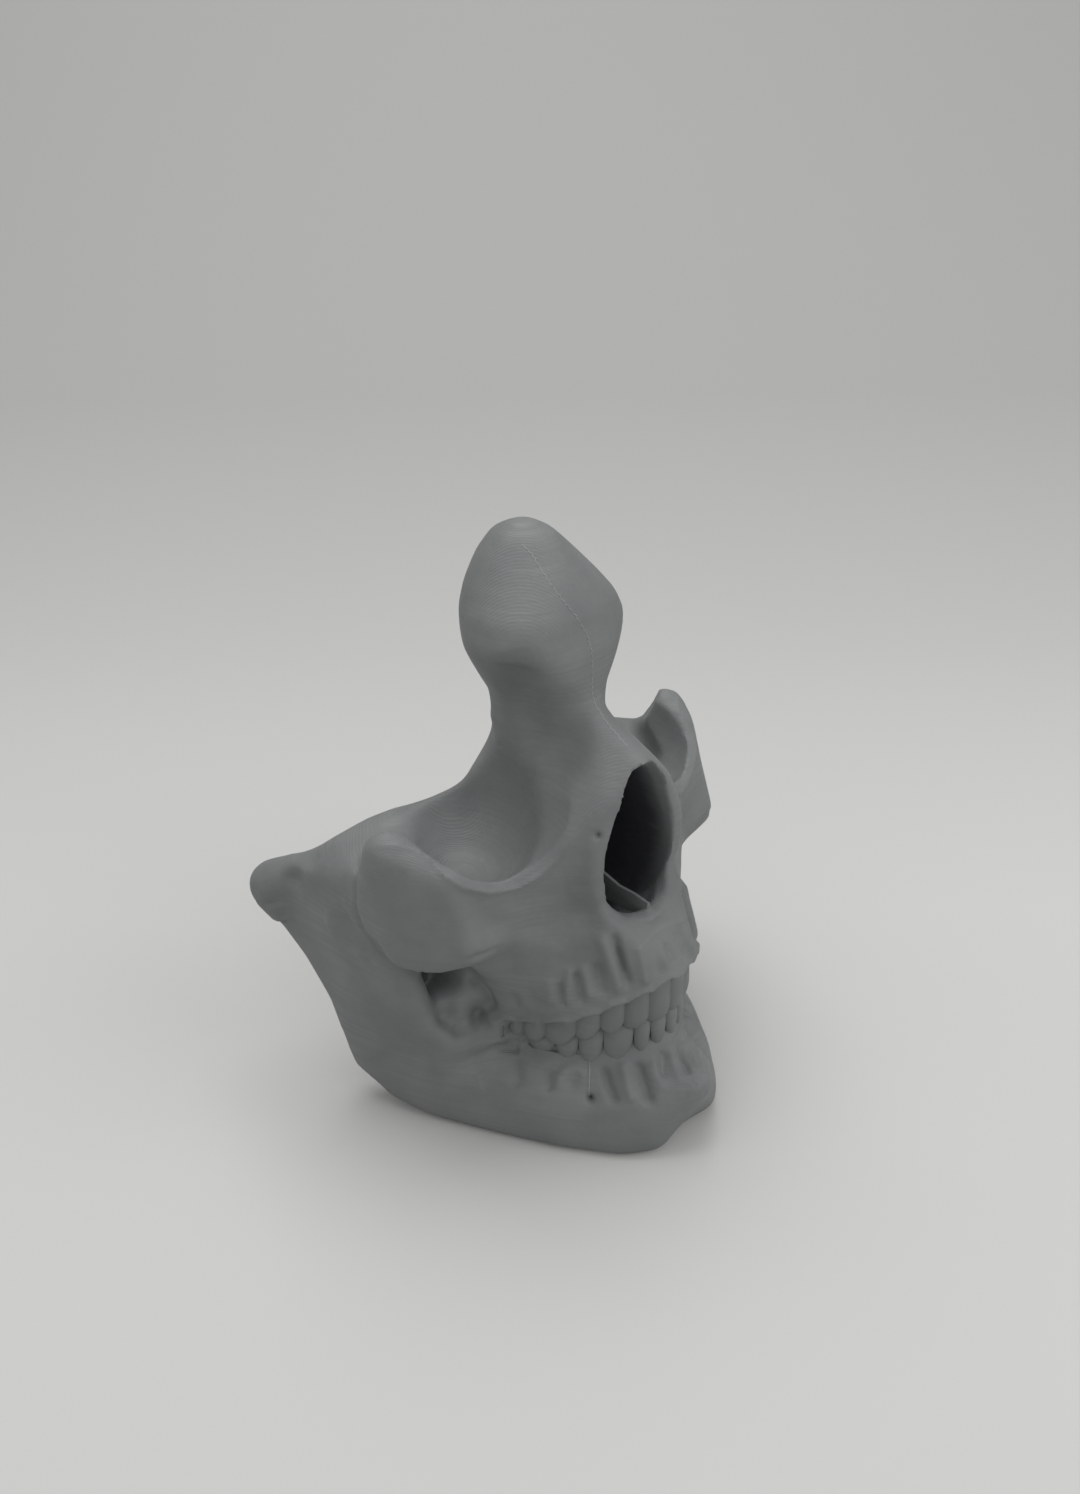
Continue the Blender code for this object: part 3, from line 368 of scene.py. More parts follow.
def add_plates(whole):
    for plate in plates():
        for side in (-1, 1):
            landmarks = [LANDMARK_SHARES[name] for name in plate]
            balls = [(mirrored(at(shares), side), shares[3] * BONE_THICKNESS) for shares in landmarks]
            add_to(whole, hull_of(balls))


def loft(rings):
    """A closed skin through rings of equal count, capped at both ends."""
    bm = bmesh.new()
    loops = [[bm.verts.new(point) for point in ring] for ring in rings]
    for low, high in zip(loops, loops[1:]):
        for i in range(len(low)):
            j = (i + 1) % len(low)
            bm.faces.new((low[i], low[j], high[j], high[i]))
    bm.faces.new(reversed(loops[0]))
    bm.faces.new(loops[-1])
    return bm


def rounded(value, squareness):
    """A cosine or a sine pushed outwards, so that a ring of them has fuller corners."""
    return math.copysign(abs(value) ** (2 / squareness), value)


def column_rings(shares):
    """Rings of the forehead column: broad and flat in front, round behind."""
    face = COLUMN_FACE_SHARE * FACE_DEPTH
    rings = []
    for height, half_width, front, back, square in shares:
        middle = face + (front + back) / 2 * COLUMN_DEPTH
        reach = (back - front) / 2 * COLUMN_DEPTH
        ring = []
        for i in range(RING_POINTS):
            angle = math.tau * i / RING_POINTS
            squareness = square if math.sin(angle) < 0 else 2.0
            across = half_width * COLUMN_HALF_WIDTH * rounded(math.cos(angle), squareness)
            along = reach * rounded(math.sin(angle), squareness)
            ring.append(Vector((across, middle + along, FACE_HEIGHT + height * COLUMN_HEIGHT)))
        rings.append(ring)
    return rings


def height_on(line, place):
    """The height of a line drawn from the side, at a place along the depth."""
    share = min(max(place / FACE_DEPTH, line[0][0]), line[-1][0])
    for (near, low), (far, high) in zip(line, line[1:]):
        if share <= far:
            break
    return (low + (high - low) * (share - near) / (far - near)) * FACE_HEIGHT


def arch_places():
    """Places along half of the gum's outer edge, each with the length walked to it from the middle."""
    centre = ARCH_CENTRE_SHARE * FACE_DEPTH
    half_width = ARCH_WIDTH_SHARE * FACE_HALF_WIDTH
    length = ARCH_LENGTH_SHARE * FACE_DEPTH
    places = []
    run = 0.0
    for i in range(ARCH_STEPS + 1):
        angle = math.pi / 2 * i / ARCH_STEPS
        place = Vector((half_width * math.sin(angle), centre - length * math.cos(angle)))
        if places:
            run += (place - places[-1][1]).length
        places.append((run, place))
    return places


def on_arch(run, inset):
    """The place that far round the arch and that far in from the gum's edge, and the direction along it."""
    walk = min(max(run, 0.0), ARCH[-2][0])
    k = next(k for k in range(len(ARCH) - 1) if ARCH[k + 1][0] > walk)
    (near, first), (_, second) = ARCH[k], ARCH[k + 1]
    along = (second - first).normalized()
    place = first + along * (run - near)
    inward = Vector((-along.y, along.x))
    return place + inward * inset, along


ARCH = arch_places()


def around_arch(run, inset):
    """The same on both sides of the middle: a run below zero lies on the far side of it."""
    place, along = on_arch(abs(run), inset)
    if run < 0:
        return Vector((-place.x, place.y)), Vector((along.x, -along.y))
    return place, along


# The skin's grain, and how often it is smoothed
ROUGH_GRAIN = 0.0012
ROUGH_ROUNDS = 5
FINE_GRAIN = 0.00065
FINE_ROUNDS = 5
SMOOTH_FACTOR = 0.5
MOST_TRIANGLES = 160000
CREASE_ANGLE = math.radians(38)

# The foot of the forehead spreads out into the sockets: rings as those of the column
NECK_RING_SHARES = [
    (-0.36, 0.95, -0.11, 0.975, 2.0), (-0.26, 1.18, -0.12, 1.0, 2.0), (-0.18, 0.95, -0.12, 0.96, 2.0),
    (-0.08, 0.745, -0.105, 0.9, 2.0), (0.02, 0.655, -0.07, 0.85, 2.0), (0.11, 0.645, -0.035, 0.85, 2.0),
    (0.21, 0.64, 0.0, 0.88, 2.0),
]
# The low wall behind the hollow under each cheekbone: places as shares of the face, and radii
RECESS_WALL = [
    ((0.745, 0.61, 0.375), 0.004), ((0.755, 0.615, 0.32), 0.004), ((0.7, 0.54, 0.385), 0.0035),
    ((0.72, 0.55, 0.32), 0.0035), ((0.62, 0.58, 0.37), 0.004),
]
# The swell of the gum behind the hindmost molars
REAR_GUM = [((0.555, 0.478, 0.315), 0.0036), ((0.57, 0.5, 0.29), 0.0036)]

# The bones that the one skin stands for
BONES = [
    "frontal_bone", "mandible", "maxilla", "nasal_bones", "sphenoid_bone", "zygomatic_bone_left",
    "zygomatic_bone_right",
]

# The camera that took the photograph, in the sculpt's frame: its place, the picture's right and up, and
# how far it sees, in pixels of the 1080 by 1494 picture
CAMERA_PLACE = Vector((-0.198763, -0.141811, 0.255173))
CAMERA_RIGHT = Vector((0.7066268, -0.7074969, -0.0112521))
CAMERA_UP = Vector((0.3558198, 0.3415472, 0.8699067))
CAMERA_BACK = CAMERA_RIGHT.cross(CAMERA_UP)
FOCAL_PIXELS = 1300.0
PICTURE_PIXELS = (1080.0, 1494.0)


def object_from(name, bm):
    bmesh.ops.recalc_face_normals(bm, faces=bm.faces)
    mesh = bpy.data.meshes.new(name)
    bm.to_mesh(mesh)
    bm.free()
    thing = bpy.data.objects.new(name, mesh)
    bpy.context.scene.collection.objects.link(thing)
    return thing


def baked(thing):
    graph = bpy.context.evaluated_depsgraph_get()
    mesh = bpy.data.meshes.new_from_object(thing.evaluated_get(graph))
    thing.modifiers.clear()
    old = thing.data
    thing.data = mesh
    bpy.data.meshes.remove(old)
    return thing


def skinned(thing, grain, rounds):
    """One watertight skin over all the shapes of the object, its edges softened."""
    remesh = thing.modifiers.new("skin", "REMESH")
    remesh.mode = "VOXEL"
    remesh.voxel_size = grain
    smooth = thing.modifiers.new("soften", "SMOOTH")
    smooth.factor = SMOOTH_FACTOR
    smooth.iterations = rounds
    return baked(thing)


def cut(thing, bm):
    """Takes a shape away from the object."""
    cutter = object_from("cutter", bm)
    work = thing.modifiers.new("cut", "BOOLEAN")
    work.operation = "DIFFERENCE"
    work.solver = "MANIFOLD"
    work.object = cutter
    baked(thing)
    bpy.data.objects.remove(cutter, do_unlink=True)
    return thing


def fewer_faces(thing):
    triangles = sum(len(face.vertices) - 2 for face in thing.data.polygons)
    if triangles > MOST_TRIANGLES:
        fewer = thing.modifiers.new("fewer faces", "DECIMATE")
        fewer.ratio = MOST_TRIANGLES / triangles
        baked(thing)
    return thing


# The sockets here, with a higher and crisper front rim: centres and half sizes
BOWL_SHARES = [
    ((0.575, 0.565, 0.938), (1.00, 1.00, 1.00)),
    ((0.595, 0.430, 1.025), (1.06, 0.89, 1.05)),
    ((0.820, 0.720, 0.925), (0.85, 0.53, 0.62)),
]
# Where the skin is softened: the bowls, the foot of the forehead and the hollow under the cheekbone, but
# not along the sockets' front rim, which is drawn on the picture
SOFT_REACH = 1.34  # how far past a bowl its surroundings are softened, in its own sizes
SOFT_BLEND = 0.16  # over this share of a bowl's size the softening fades
SOFT_ROUNDS = 70
SOFT_LEVELS = 8
PATCH_SLOPE = 1.6  # how steeply the softening of the other two grows from their edges
NECK_CENTRE = Vector((0.0, 0.064, 0.104))
NECK_HALF_SIZE = Vector((0.034, 0.030, 0.014))
RIM_LINE = [
    (362, 846), (386, 842), (410, 842), (426, 852), (442, 870), (462, 884), (490, 889), (518, 884),
    (538, 872), (554, 856), (570, 832), (579, 806),
]
RECESS = (456, 1008)  # the middle of the hollow under the cheekbone, on the picture
RECESS_REACH = 0.0090
RIM_CLEAR = 0.0022  # nearer than this to the rim nothing is softened
RIM_BLEND = 0.0060
RIM_SKIP = 4  # one in so many of the rim's places is enough to measure from
BLOCKS = 20  # parts in which the places are measured


def ellipsoid(centre, half_sizes):
    bm = bmesh.new()
    place = Matrix.Translation(centre) @ Matrix.Diagonal((*half_sizes, 1.0))
    bmesh.ops.create_icosphere(bm, subdivisions=BOWL_GRAIN, radius=1.0, matrix=place)
    return bm


def bowls():
    """Centre and half sizes of each bowl on the right side."""
    sizes = (SOCKET_HALF_WIDTH, SOCKET_HALF_DEPTH, SOCKET_BOWL_DEPTH)
    for centre_shares, size_shares in BOWL_SHARES:
        yield mirrored(at(centre_shares), -1), [share * size for share, size in zip(size_shares, sizes)]


def softened(thing):
    """Softens the inside of the sockets and the foot of the forehead, but for the sockets' front rim."""
    places, _ = points_of(thing)
    folded = places.copy()
    folded[:, 0] = -np.abs(folded[:, 0])
    weight = eased(PATCH_SLOPE * (1 - np.linalg.norm((folded - NECK_CENTRE) / NECK_HALF_SIZE, axis=1)))
    for centre, half_sizes in bowls():
        reach = np.linalg.norm((folded - np.array(centre)) / np.array(half_sizes), axis=1)
        weight = np.maximum(weight, eased((SOFT_REACH - reach) / SOFT_BLEND))
    tree = tree_of(thing)
    rim = dense(thrown(tree, RIM_LINE))
    for block in np.array_split(np.nonzero(weight > 0)[0], BLOCKS):
        gap = np.linalg.norm(folded[block][:, None, :] - rim[None, ::RIM_SKIP, :], axis=2).min(axis=1)
        weight[block] *= eased((gap - RIM_CLEAR) / RIM_BLEND)
    recess = np.array(thrown(tree, [RECESS])[0])
    gap = np.linalg.norm(folded - recess, axis=1)
    weight = np.maximum(weight, eased(PATCH_SLOPE * (1 - gap / RECESS_REACH)))
    return smoothed_by(thing, weight, SOFT_ROUNDS)


def smoothed_by(thing, weight, rounds):
    """Smooths an object's skin where the weight is."""
    group = thing.vertex_groups.new(name="soft")
    for level in range(1, SOFT_LEVELS + 1):
        chosen = np.nonzero(np.round(weight * SOFT_LEVELS) == level)[0]
        if len(chosen):
            group.add(chosen.tolist(), level / SOFT_LEVELS, "REPLACE")
    smooth = thing.modifiers.new("soft", "SMOOTH")
    smooth.factor = SMOOTH_FACTOR
    smooth.iterations = rounds
    smooth.vertex_group = "soft"
    baked(thing)
    thing.vertex_groups.clear()
    return thing


NOSE_EDGE_FRONT = 0.0245  # the edge of the nose's opening lies about here
PAINTED_SHADE_START, PAINTED_SHADE_FULL = 0.0020, 0.0090  # how far behind that edge the painted shade on the walls starts and is full
DEEP_NEAR = 0.0010  # a wall lies no further than this from the hollow's shape
DEEP_HALF_WIDTH, DEEP_REAR, DEEP_LOW, DEEP_HIGH = 0.018, 0.070, 0.052, 0.112  # where walls are looked for


def nose_shade_painted(thing):
    """Paints shade on the walls inside the nose: each wall is marked by how far it lies behind the nose's
    edge, and the material darkens it by that mark.
    """
    places, _ = points_of(thing)
    hollow = tree_of_shape(nose_shape())
    deep = np.zeros(len(places))
    zone = (np.abs(places[:, 0]) < DEEP_HALF_WIDTH) & (places[:, 2] > DEEP_LOW) & (places[:, 2] < DEEP_HIGH)
    zone &= (places[:, 1] > NOSE_EDGE_FRONT) & (places[:, 1] < DEEP_REAR)
    for i in np.nonzero(zone)[0]:
        if hollow.find_nearest(Vector(places[i]), DEEP_NEAR)[0] is not None:
            deep[i] = eased((places[i][1] - NOSE_EDGE_FRONT - PAINTED_SHADE_START) / (PAINTED_SHADE_FULL - PAINTED_SHADE_START))
    mark = thing.data.attributes.new("deep", "FLOAT", "POINT")
    mark.data.foreach_set("value", deep.astype(np.float32))
    return thing


def tree_of_shape(bm):
    tree = BVHTree.FromBMesh(bm)
    bm.free()
    return tree


def side_prism(outline, half_width):
    """An outline seen from the side, in metres, drawn out across the middle plane."""
    return loft([[Vector((x, along, up)) for along, up in outline] for x in (-half_width, half_width)])


def curved(points, steps):
    """A closed outline made rounder: a smooth curve through its points."""
    made = []
    count = len(points)
    for i in range(count):
        a, b, c, d = (points[(i + k) % count] for k in (-1, 0, 1, 2))
        for step in range(steps):
            t = step / steps
            weights = (-t + 2 * t**2 - t**3, 2 - 5 * t**2 + 3 * t**3, t + 4 * t**2 - 3 * t**3, t**3 - t**2)
            made.append(tuple(sum(w * p[k] for w, p in zip(weights, (a, b, c, d))) / 2 for k in (0, 1)))
    return made


NOSE_CURVE_STEPS = 4
# The nose's opening seen from the front: across as a share of its half width, up as a share of its height
NOSE_OUTLINE_SHARES = [
    (0.0, 0.15), (0.08, 0.115), (0.2, 0.09), (0.4, 0.085), (0.6, 0.11), (0.79, 0.171), (0.91, 0.25),
    (0.98, 0.33), (1.01, 0.43), (0.98, 0.52), (0.94, 0.6), (0.85, 0.67), (0.76, 0.74), (0.66, 0.81),
    (0.55, 0.88), (0.42, 0.945), (0.24, 1.0),
]


def nose_outline():
    right = [(NOSE_HALF_WIDTH * across, NOSE_HEIGHT * up) for across, up in NOSE_OUTLINE_SHARES]
    left = [(-across, up) for across, up in reversed(right) if across > 0]
    return curved(right + left, NOSE_CURVE_STEPS)


def nose_shape():
    outline = nose_outline()
    rings = []
    for depth, width, height, drop in NOSE_FUNNEL:
        level = NOSE_FLOOR - drop * NOSE_HEIGHT
        along = NOSE_MARGIN + depth
        rings.append([Vector((across * width, along, level + up * height)) for across, up in outline])
    return loft(rings)


# The band in front of the rows of teeth, cut away round the arch: how far in it goes, and the small arcs
# of the gum's edge over each tooth
BAND_INSET = 0.0046
BAND_REACH = 0.012
BAND_END_SHARE = 0.788
BAND_FADE = 0.0075  # over this length its end rises to the bite and comes out to the skin
BAND_STEP = 0.0005
# At its ends: how far in it goes, and how far below and above the bite
BAND_END_INSET, BAND_END_LOW, BAND_END_TOP = 0.0004, 0.0004, 0.0006
BAND_END_TOP_SHARE = 0.5  # its top goes only so much of the way
SCALLOP_HEIGHT = 0.0009
SCALLOP_LEVEL = 0.62  # the share of a scallop's height at which the gum's own edge lies
RIM_DROP = 0.0004


def tooth_bounds(table):
    """How far round the arch each tooth begins and ends."""
    run = 0.0
    for name, width_share, depth_share, corner in table:
        width = width_share * ARCH[-1][0]
        yield name, run, run + width, depth_share * TOOTH_DEPTH, corner
        run += width


def scallop(table, run):
    """How far a gum's edge rises over a tooth, or hangs between two: a share of the scallop's height."""
    for _, start, end, _, _ in tooth_bounds(table):
        if start <= abs(run) < end:
            return math.sin(math.pi * (abs(run) - start) / (end - start)) - SCALLOP_LEVEL
    return 0.0


def tooth_band():
    end = BAND_END_SHARE * ARCH[-1][0]
    count = int(2 * end / BAND_STEP)
    rings = []
    for i in range(count + 1):
        run = end * (2 * i / count - 1)
        edge, _ = around_arch(run, 0.0)
        outer, _ = around_arch(run, -BAND_REACH)
        fade = float(eased(1 - (end - abs(run)) / BAND_FADE))
        inner, _ = around_arch(run, BAND_INSET + (BAND_END_INSET - BAND_INSET) * fade)
        top = height_on(UPPER_GUM_SHARES, edge.y) + scallop(UPPER_TEETH_SHARES, run) * SCALLOP_HEIGHT
        low = height_on(LOWER_GUM_SHARES, edge.y) - RIM_DROP
        bite = height_on(BITE_SHARES, edge.y)
        low += (bite - BAND_END_LOW - low) * fade
        top += (bite + BAND_END_TOP - top) * fade * BAND_END_TOP_SHARE
        corners = ((outer, low), (outer, top), (inner, top), (inner, low))
        rings.append([Vector((place.x, place.y, z)) for place, z in corners])
    return loft(rings)


def points_of(thing):
    count = len(thing.data.vertices)
    places = np.empty(count * 3, np.float32)
    thing.data.vertices.foreach_get("co", places)
    normals = np.empty(count * 3, np.float32)
    thing.data.vertex_normals.foreach_get("vector", normals)
    return places.reshape(-1, 3).astype(float), normals.reshape(-1, 3).astype(float)


def put_points(thing, places):
    thing.data.vertices.foreach_set("co", places.astype(np.float32).ravel())
    thing.data.update()


def eased(share):
    """A step from 0 to 1 with a soft start and end."""
    share = np.clip(share, 0.0, 1.0)
    return share * share * (3 - 2 * share)


# The upper gum's edge curls out, and the rim of the lower jaw leans in towards the roots of the lower teeth
LIP_FLARE = 0.0010
LIP_FLARE_HEIGHT = 0.0011
LIP_CLEAR, LIP_BLEND = 0.006, 0.004  # the lean ends so far below the upper gum's edge, over such a height
RIM_LEAN = 0.0036
RIM_LEAN_HEIGHT = 0.0140
RIM_ROUND_SHARE, RIM_STEPS = 0.93, 240  # how far round the arch this goes, and in how many steps
RIM_LOW, RIM_HIGH, RIM_REAR = 0.010, 0.056, 0.055  # the heights and the depth between which skin is moved
RIM_OUTERMOST, RIM_INNERMOST = -0.008, 0.0045  # how far out and in from the gum's edge skin is moved
RIM_END_BLEND, RIM_INNER_BLEND = 0.010, 0.0015


def rims_shaped(places):
    """Moves the lower jaw's rim in towards the teeth, and curls the upper gum's edge out."""
    runs = np.linspace(0.0, ARCH[-1][0] * RIM_ROUND_SHARE, RIM_STEPS)
    walk = [on_arch(run, 0.0) for run in runs]
    line = np.array([(p.x, p.y) for p, _ in walk])
    inward = np.array([(-a.y, a.x) for _, a in walk])
    rim = np.array([height_on(LOWER_GUM_SHARES, p.y) for p, _ in walk])
    lip = np.array([height_on(UPPER_GUM_SHARES, p.y) for p, _ in walk])
    lip += np.array([scallop(UPPER_TEETH_SHARES, run) for run in runs]) * SCALLOP_HEIGHT
    moved = places.copy()
    zone = (places[:, 2] > RIM_LOW) & (places[:, 2] < RIM_HIGH) & (places[:, 1] < RIM_REAR)
    for i in np.nonzero(zone)[0]:
        x, y, z = places[i]
        flat = np.array((abs(x), y))
        k = int(((line - flat) ** 2).sum(axis=1).argmin())
        inset = float((flat - line[k]) @ inward[k])
        if inset > RIM_INNERMOST or inset < RIM_OUTERMOST:
            continue
        lean = RIM_LEAN * float(eased((z - rim[k] + RIM_LEAN_HEIGHT) / RIM_LEAN_HEIGHT))
        lean *= float(eased((lip[k] - LIP_CLEAR - z) / LIP_BLEND))
        flare = LIP_FLARE * math.exp(-(((z - lip[k]) / LIP_FLARE_HEIGHT) ** 2))
        ease_out = float(eased((runs[-1] - runs[k]) / RIM_END_BLEND))
        ease_out *= float(eased((RIM_INNERMOST - inset) / RIM_INNER_BLEND))
        push = inward[k] * (lean - flare) * ease_out
        moved[i, 0] += math.copysign(1.0, x) * push[0]
        moved[i, 1] += push[1]
    return moved


NOSE_RIM_RISE = 0.0016  # the margin beside the nose stands this much further forward
NOSE_RIM_REACH = 0.0085
NOSE_RIM_FULLNESS = 1.3  # more than 1 keeps the rise full for a stretch beside the edge
NOSE_RIM_HALF_WIDTH = 0.024
NOSE_RIM_REAR, NOSE_RIM_BLEND = 0.046, 0.010
NOSE_RIM_LOW, NOSE_RIM_HIGH = 0.0665, 0.0735  # between these heights the rise begins


def nose_rim_raised(places):
    """Brings the margin beside and above the nose forward."""
    edge = np.array([(across, NOSE_FLOOR + up) for across, up in nose_outline()]).astype(np.float32)
    moved = places.copy()
    zone = (np.abs(places[:, 0]) < NOSE_RIM_HALF_WIDTH) & (places[:, 2] > NOSE_RIM_LOW)
    zone &= places[:, 1] < NOSE_RIM_REAR
    for block in np.array_split(np.nonzero(zone)[0], BLOCKS):
        gap = np.linalg.norm(places[block][:, None, ::2] - edge[None, :, :], axis=2).min(axis=1)
        share = eased((NOSE_RIM_REACH - gap) / NOSE_RIM_REACH * NOSE_RIM_FULLNESS)
        share *= eased((places[block][:, 2] - NOSE_RIM_LOW) / (NOSE_RIM_HIGH - NOSE_RIM_LOW))
        share *= eased((NOSE_RIM_REAR - places[block][:, 1]) / NOSE_RIM_BLEND)
        moved[block, 1] -= NOSE_RIM_RISE * share
    return moved


FOOT_SPREAD = 0.0024  # the lower border of the jaw stands out by this at the table
FOOT_HEIGHT = 0.0170
FOOT_MIDDLE = Vector((0.0, 0.060))
FOOT_FACING_SLOPE = 1.6
FOOT_REAR, FOOT_REAR_BLEND = 0.075, 0.020
CHIN_FLAT = 0.012  # nearer to the middle than this the spread fades
CHIN_FRONT = 0.0008  # nothing that lay behind this comes out in front of it


def foot_spread(places, normals):
    """Lets the lower border of the jaw stand out further at the table."""
    outward = places[:, :2] - np.array(FOOT_MIDDLE)
    outward /= np.linalg.norm(outward, axis=1)[:, None]
    share = np.clip((normals[:, :2] * outward).sum(axis=1) * FOOT_FACING_SLOPE, 0.0, 1.0)
    share *= eased((FOOT_HEIGHT - places[:, 2]) / FOOT_HEIGHT)
    rear = eased((FOOT_REAR - places[:, 1]) / FOOT_REAR_BLEND)
    share *= eased(np.abs(places[:, 0]) / CHIN_FLAT) * rear
    moved = places.copy()
    moved[:, :2] += outward * (FOOT_SPREAD * share)[:, None]
    held = np.maximum(moved[:, 1], np.minimum(places[:, 1], CHIN_FRONT))
    moved[:, 1] = np.where(places[:, 2] < FOOT_HEIGHT, held, moved[:, 1])
    return moved


# Carved detail: each line is drawn on the picture, in its pixels, and thrown from the camera onto the
# skin. Before it stand its width and its height as shares of the two below, where a height under zero is a
# groove, and whether it is carved on both sides of the skull or only where it is drawn.
CARVE_WIDTH = 0.0010
CARVE_HEIGHT = 0.00115
CARVINGS = rows("""
# swells over the roots of the upper teeth, and the hollows between them
canine_swell 1.5 1.0 both 598,930 606,950 612,968 617,984 619,998
incisor_swell 1.35 0.8 both 636,936 640,956 644,976 648,990
canine_hollow 1.15 -1.1 both 613,932 619,952 625,972 630,990
canine_hollow_deep 0.8 -0.5 both 617,946 621,960 625,976
incisor_hollow 1.5 -0.5 both 654,944 658,962 662,976
bicuspid_hollow 1.3 -0.9 both 596,962 600,980 603,996
bicuspid_swell 1.2 0.6 both 582,962 587,982 591,1002
bicuspid_groove 1.0 -0.75 both 575,970 579,988 582,1006
rear_bicuspid_swell 1.2 0.6 both 570,966 568,986 566,1006
rear_groove 1.0 -0.75 both 560,982 562,996 564,1008
molar_swell 1.8 0.5 both 548,976 550,992 552,1006
molar_hollow 2.6 -0.85 both 533,1000
rear_molar_hollow 1.6 -0.6 both 513,992 515,1006
spine_swell 1.1 0.5 drawn 677,914 684,934 690,950
front_notch 0.8 -0.45 drawn 666,942 670,954 676,964
# the side of the face
nose_side_hollow 5.0 -0.85 both 582,924
cheek_front_hollow 5.5 -0.55 both 530,935
nose_rim_swell 2.0 0.55 both 596,820 592,850 592,880 598,906 608,924 628,930
sill_swell 1.3 0.4 both 632,922 648,919 664,911
cheek_crease 0.75 -0.5 both 463,963 474,958 486,954 500,948
face_edge_groove 1.5 -1.3 both 466,977 480,985 489,998 492,1012
small_pit 0.75 -1.2 drawn 598,836
# the lower jaw's front
chin_groove 1.6 -1.5 both 637,1060 642,1078 648,1098 652,1108
canine_root_swell 1.3 0.75 both 621,1060 626,1080 632,1104
bicuspid_root_groove 1.35 -1.3 both 602,1066 608,1084 616,1106
front_root_swell 1.3 0.45 drawn 653,1056 658,1074 664,1092
front_root_groove 1.3 -0.7 drawn 664,1050 663,1064 662,1080
middle_root_swell 1.0 0.35 drawn 672,1046 675,1064 680,1084
middle_root_groove 1.0 -0.8 drawn 684,1036 686,1054 691,1076
chin_middle_ridge 0.8 0.35 drawn 692,1036 697,1056 702,1078
chin_front_hollow 4.5 -1.5 both 690,1050
chin_pit 0.85 -1.9 both 589.6,1099
chin_pit_bowl 2.2 -0.55 both 592,1098
arc_swell 1.2 0.6 both 558,1088 560,1076 567,1069 576,1067 583,1072 586,1086
arc_hollow 1.6 -0.6 both 572,1084
molar_root_groove 1.5 -0.75 both 547,1070 549,1092
rear_root_groove 1.9 -0.8 both 515,1058 518,1088
rear_ledge_shadow 1.1 -0.9 both 490,1046 504,1048 520,1049
branch_hollow 2.6 -2.0 both 447,1017
rear_gum_swell 2.6 0.9 both 496,1034
branch_foot_hollow 2.4 -1.3 both 459,1028
# round the cheekbone
cheekbone_edge_groove 0.85 -0.65 both 357,850 356,866 354,884 355,908 362,930 375,948 391,962
cheekbone_low_edge 0.8 0.4 both 384,953 400,964 420,971 440,972 462,967
rim 0.7 0.45 both 372,846 398,846 416,850 430,860 446,877 464,888 490,893 518,888 540,876 557,859 573,834
cheek_back_hollow 4.5 -1.1 both 345,926
cheek_back_ridge 1.6 0.7 both 328,908 330,926 338,942 352,952 370,957
cheek_back_rib 1.5 0.45 both 344,896 350,916 356,934
knob_hollow 3.4 -1.8 both 290,880
knob_dip 5.0 -1.5 both 308,858
neck_of_knob 4.0 1.3 both 270,902 284,920
# the forehead
brow_hollow 6.0 -2.5 both 512,650 519,690 531,740 540,762
neck_hollow 7.0 -1.6 both 560,752
brow_side_ridge 2.2 0.45 both 486,690 494,720 500,745
""")
CARVE_SPACING = 0.00025
CARVE_RANGE = 2.6  # where a carving has faded away, in its widths
CARVE_END_SLOPE, CARVE_END_SHARE = 4.5, 0.12  # how fast a line grows from its ends, and its strength there
MOST_GAPS = 4000000  # distances worked out at one time


def sight(pixel):
    """The direction in which the camera sees a pixel of the picture."""
    right = (pixel[0] - PICTURE_PIXELS[0] / 2) * CAMERA_RIGHT
    down = (pixel[1] - PICTURE_PIXELS[1] / 2) * CAMERA_UP
    return (right - down - FOCAL_PIXELS * CAMERA_BACK).normalized()


def thrown(tree, line):
    """The places on the skin where the camera sees a line that is drawn on the picture."""
    corners = []
    for first, second in zip(line, line[1:]):
        steps = max(2, int(math.dist(first, second) / 2))
        corners += [[a + (b - a) * k / steps for a, b in zip(first, second)] for k in range(steps)]
    corners.append(line[-1])
    found = [tree.ray_cast(CAMERA_PLACE, sight(corner))[0] for corner in corners]
    return [place for place in found if place is not None]


def dense(places):
    made = []
    for a, b in zip(places, places[1:]):
        steps = max(1, int((b - a).length / CARVE_SPACING))
        made += [a.lerp(b, k / steps) for k in range(steps)]
    made.append(places[-1])
    return np.array(made)


def carved(places, normals, tree):
    moves = np.zeros(len(places))
    for _, width_share, height_share, sides, *points in CARVINGS:
        line = [tuple(float(number) for number in point.split(",")) for point in points]
        found = thrown(tree, line)
        if not found:
            continue
        samples = dense(found)
        count = len(samples)
        along = (np.arange(count) + 0.5) / count
        fade = np.ones(count)
        if len(line) > 1:
            fade = eased(CARVE_END_SLOPE * np.minimum(along, 1 - along) + CARVE_END_SHARE)
        width = float(width_share) * CARVE_WIDTH
        height = float(height_share) * CARVE_HEIGHT
        reach = CARVE_RANGE * width
        for side in (-1, 1) if sides == "both" else (-1,):
            spots = samples * ((1, 1, 1) if side < 0 else (-1, 1, 1))
            low, high = spots.min(axis=0) - reach, spots.max(axis=0) + reach
            near = np.nonzero(((places > low) & (places < high)).all(axis=1))[0]
            for block in np.array_split(near, max(1, len(near) * count // MOST_GAPS)):
                gaps = np.linalg.norm(places[block][:, None, :] - spots[None, :, :], axis=2)
                k = gaps.argmin(axis=1)
                share = gaps[np.arange(len(block)), k] / width
                moves[block] += height * fade[k] * np.exp(-(share**2))
    return places + normals * moves[:, None]


def tree_of(thing):
    bm = bmesh.new()
    bm.from_mesh(thing.data)
    return tree_of_shape(bm)


# The floor of the nose lies lower right behind its sill: a bowl
TROUGH_CENTRE = Vector((0.0, 0.0308, 0.0665))
TROUGH_HALF_SIZE = (0.0088, 0.0082, 0.0056)
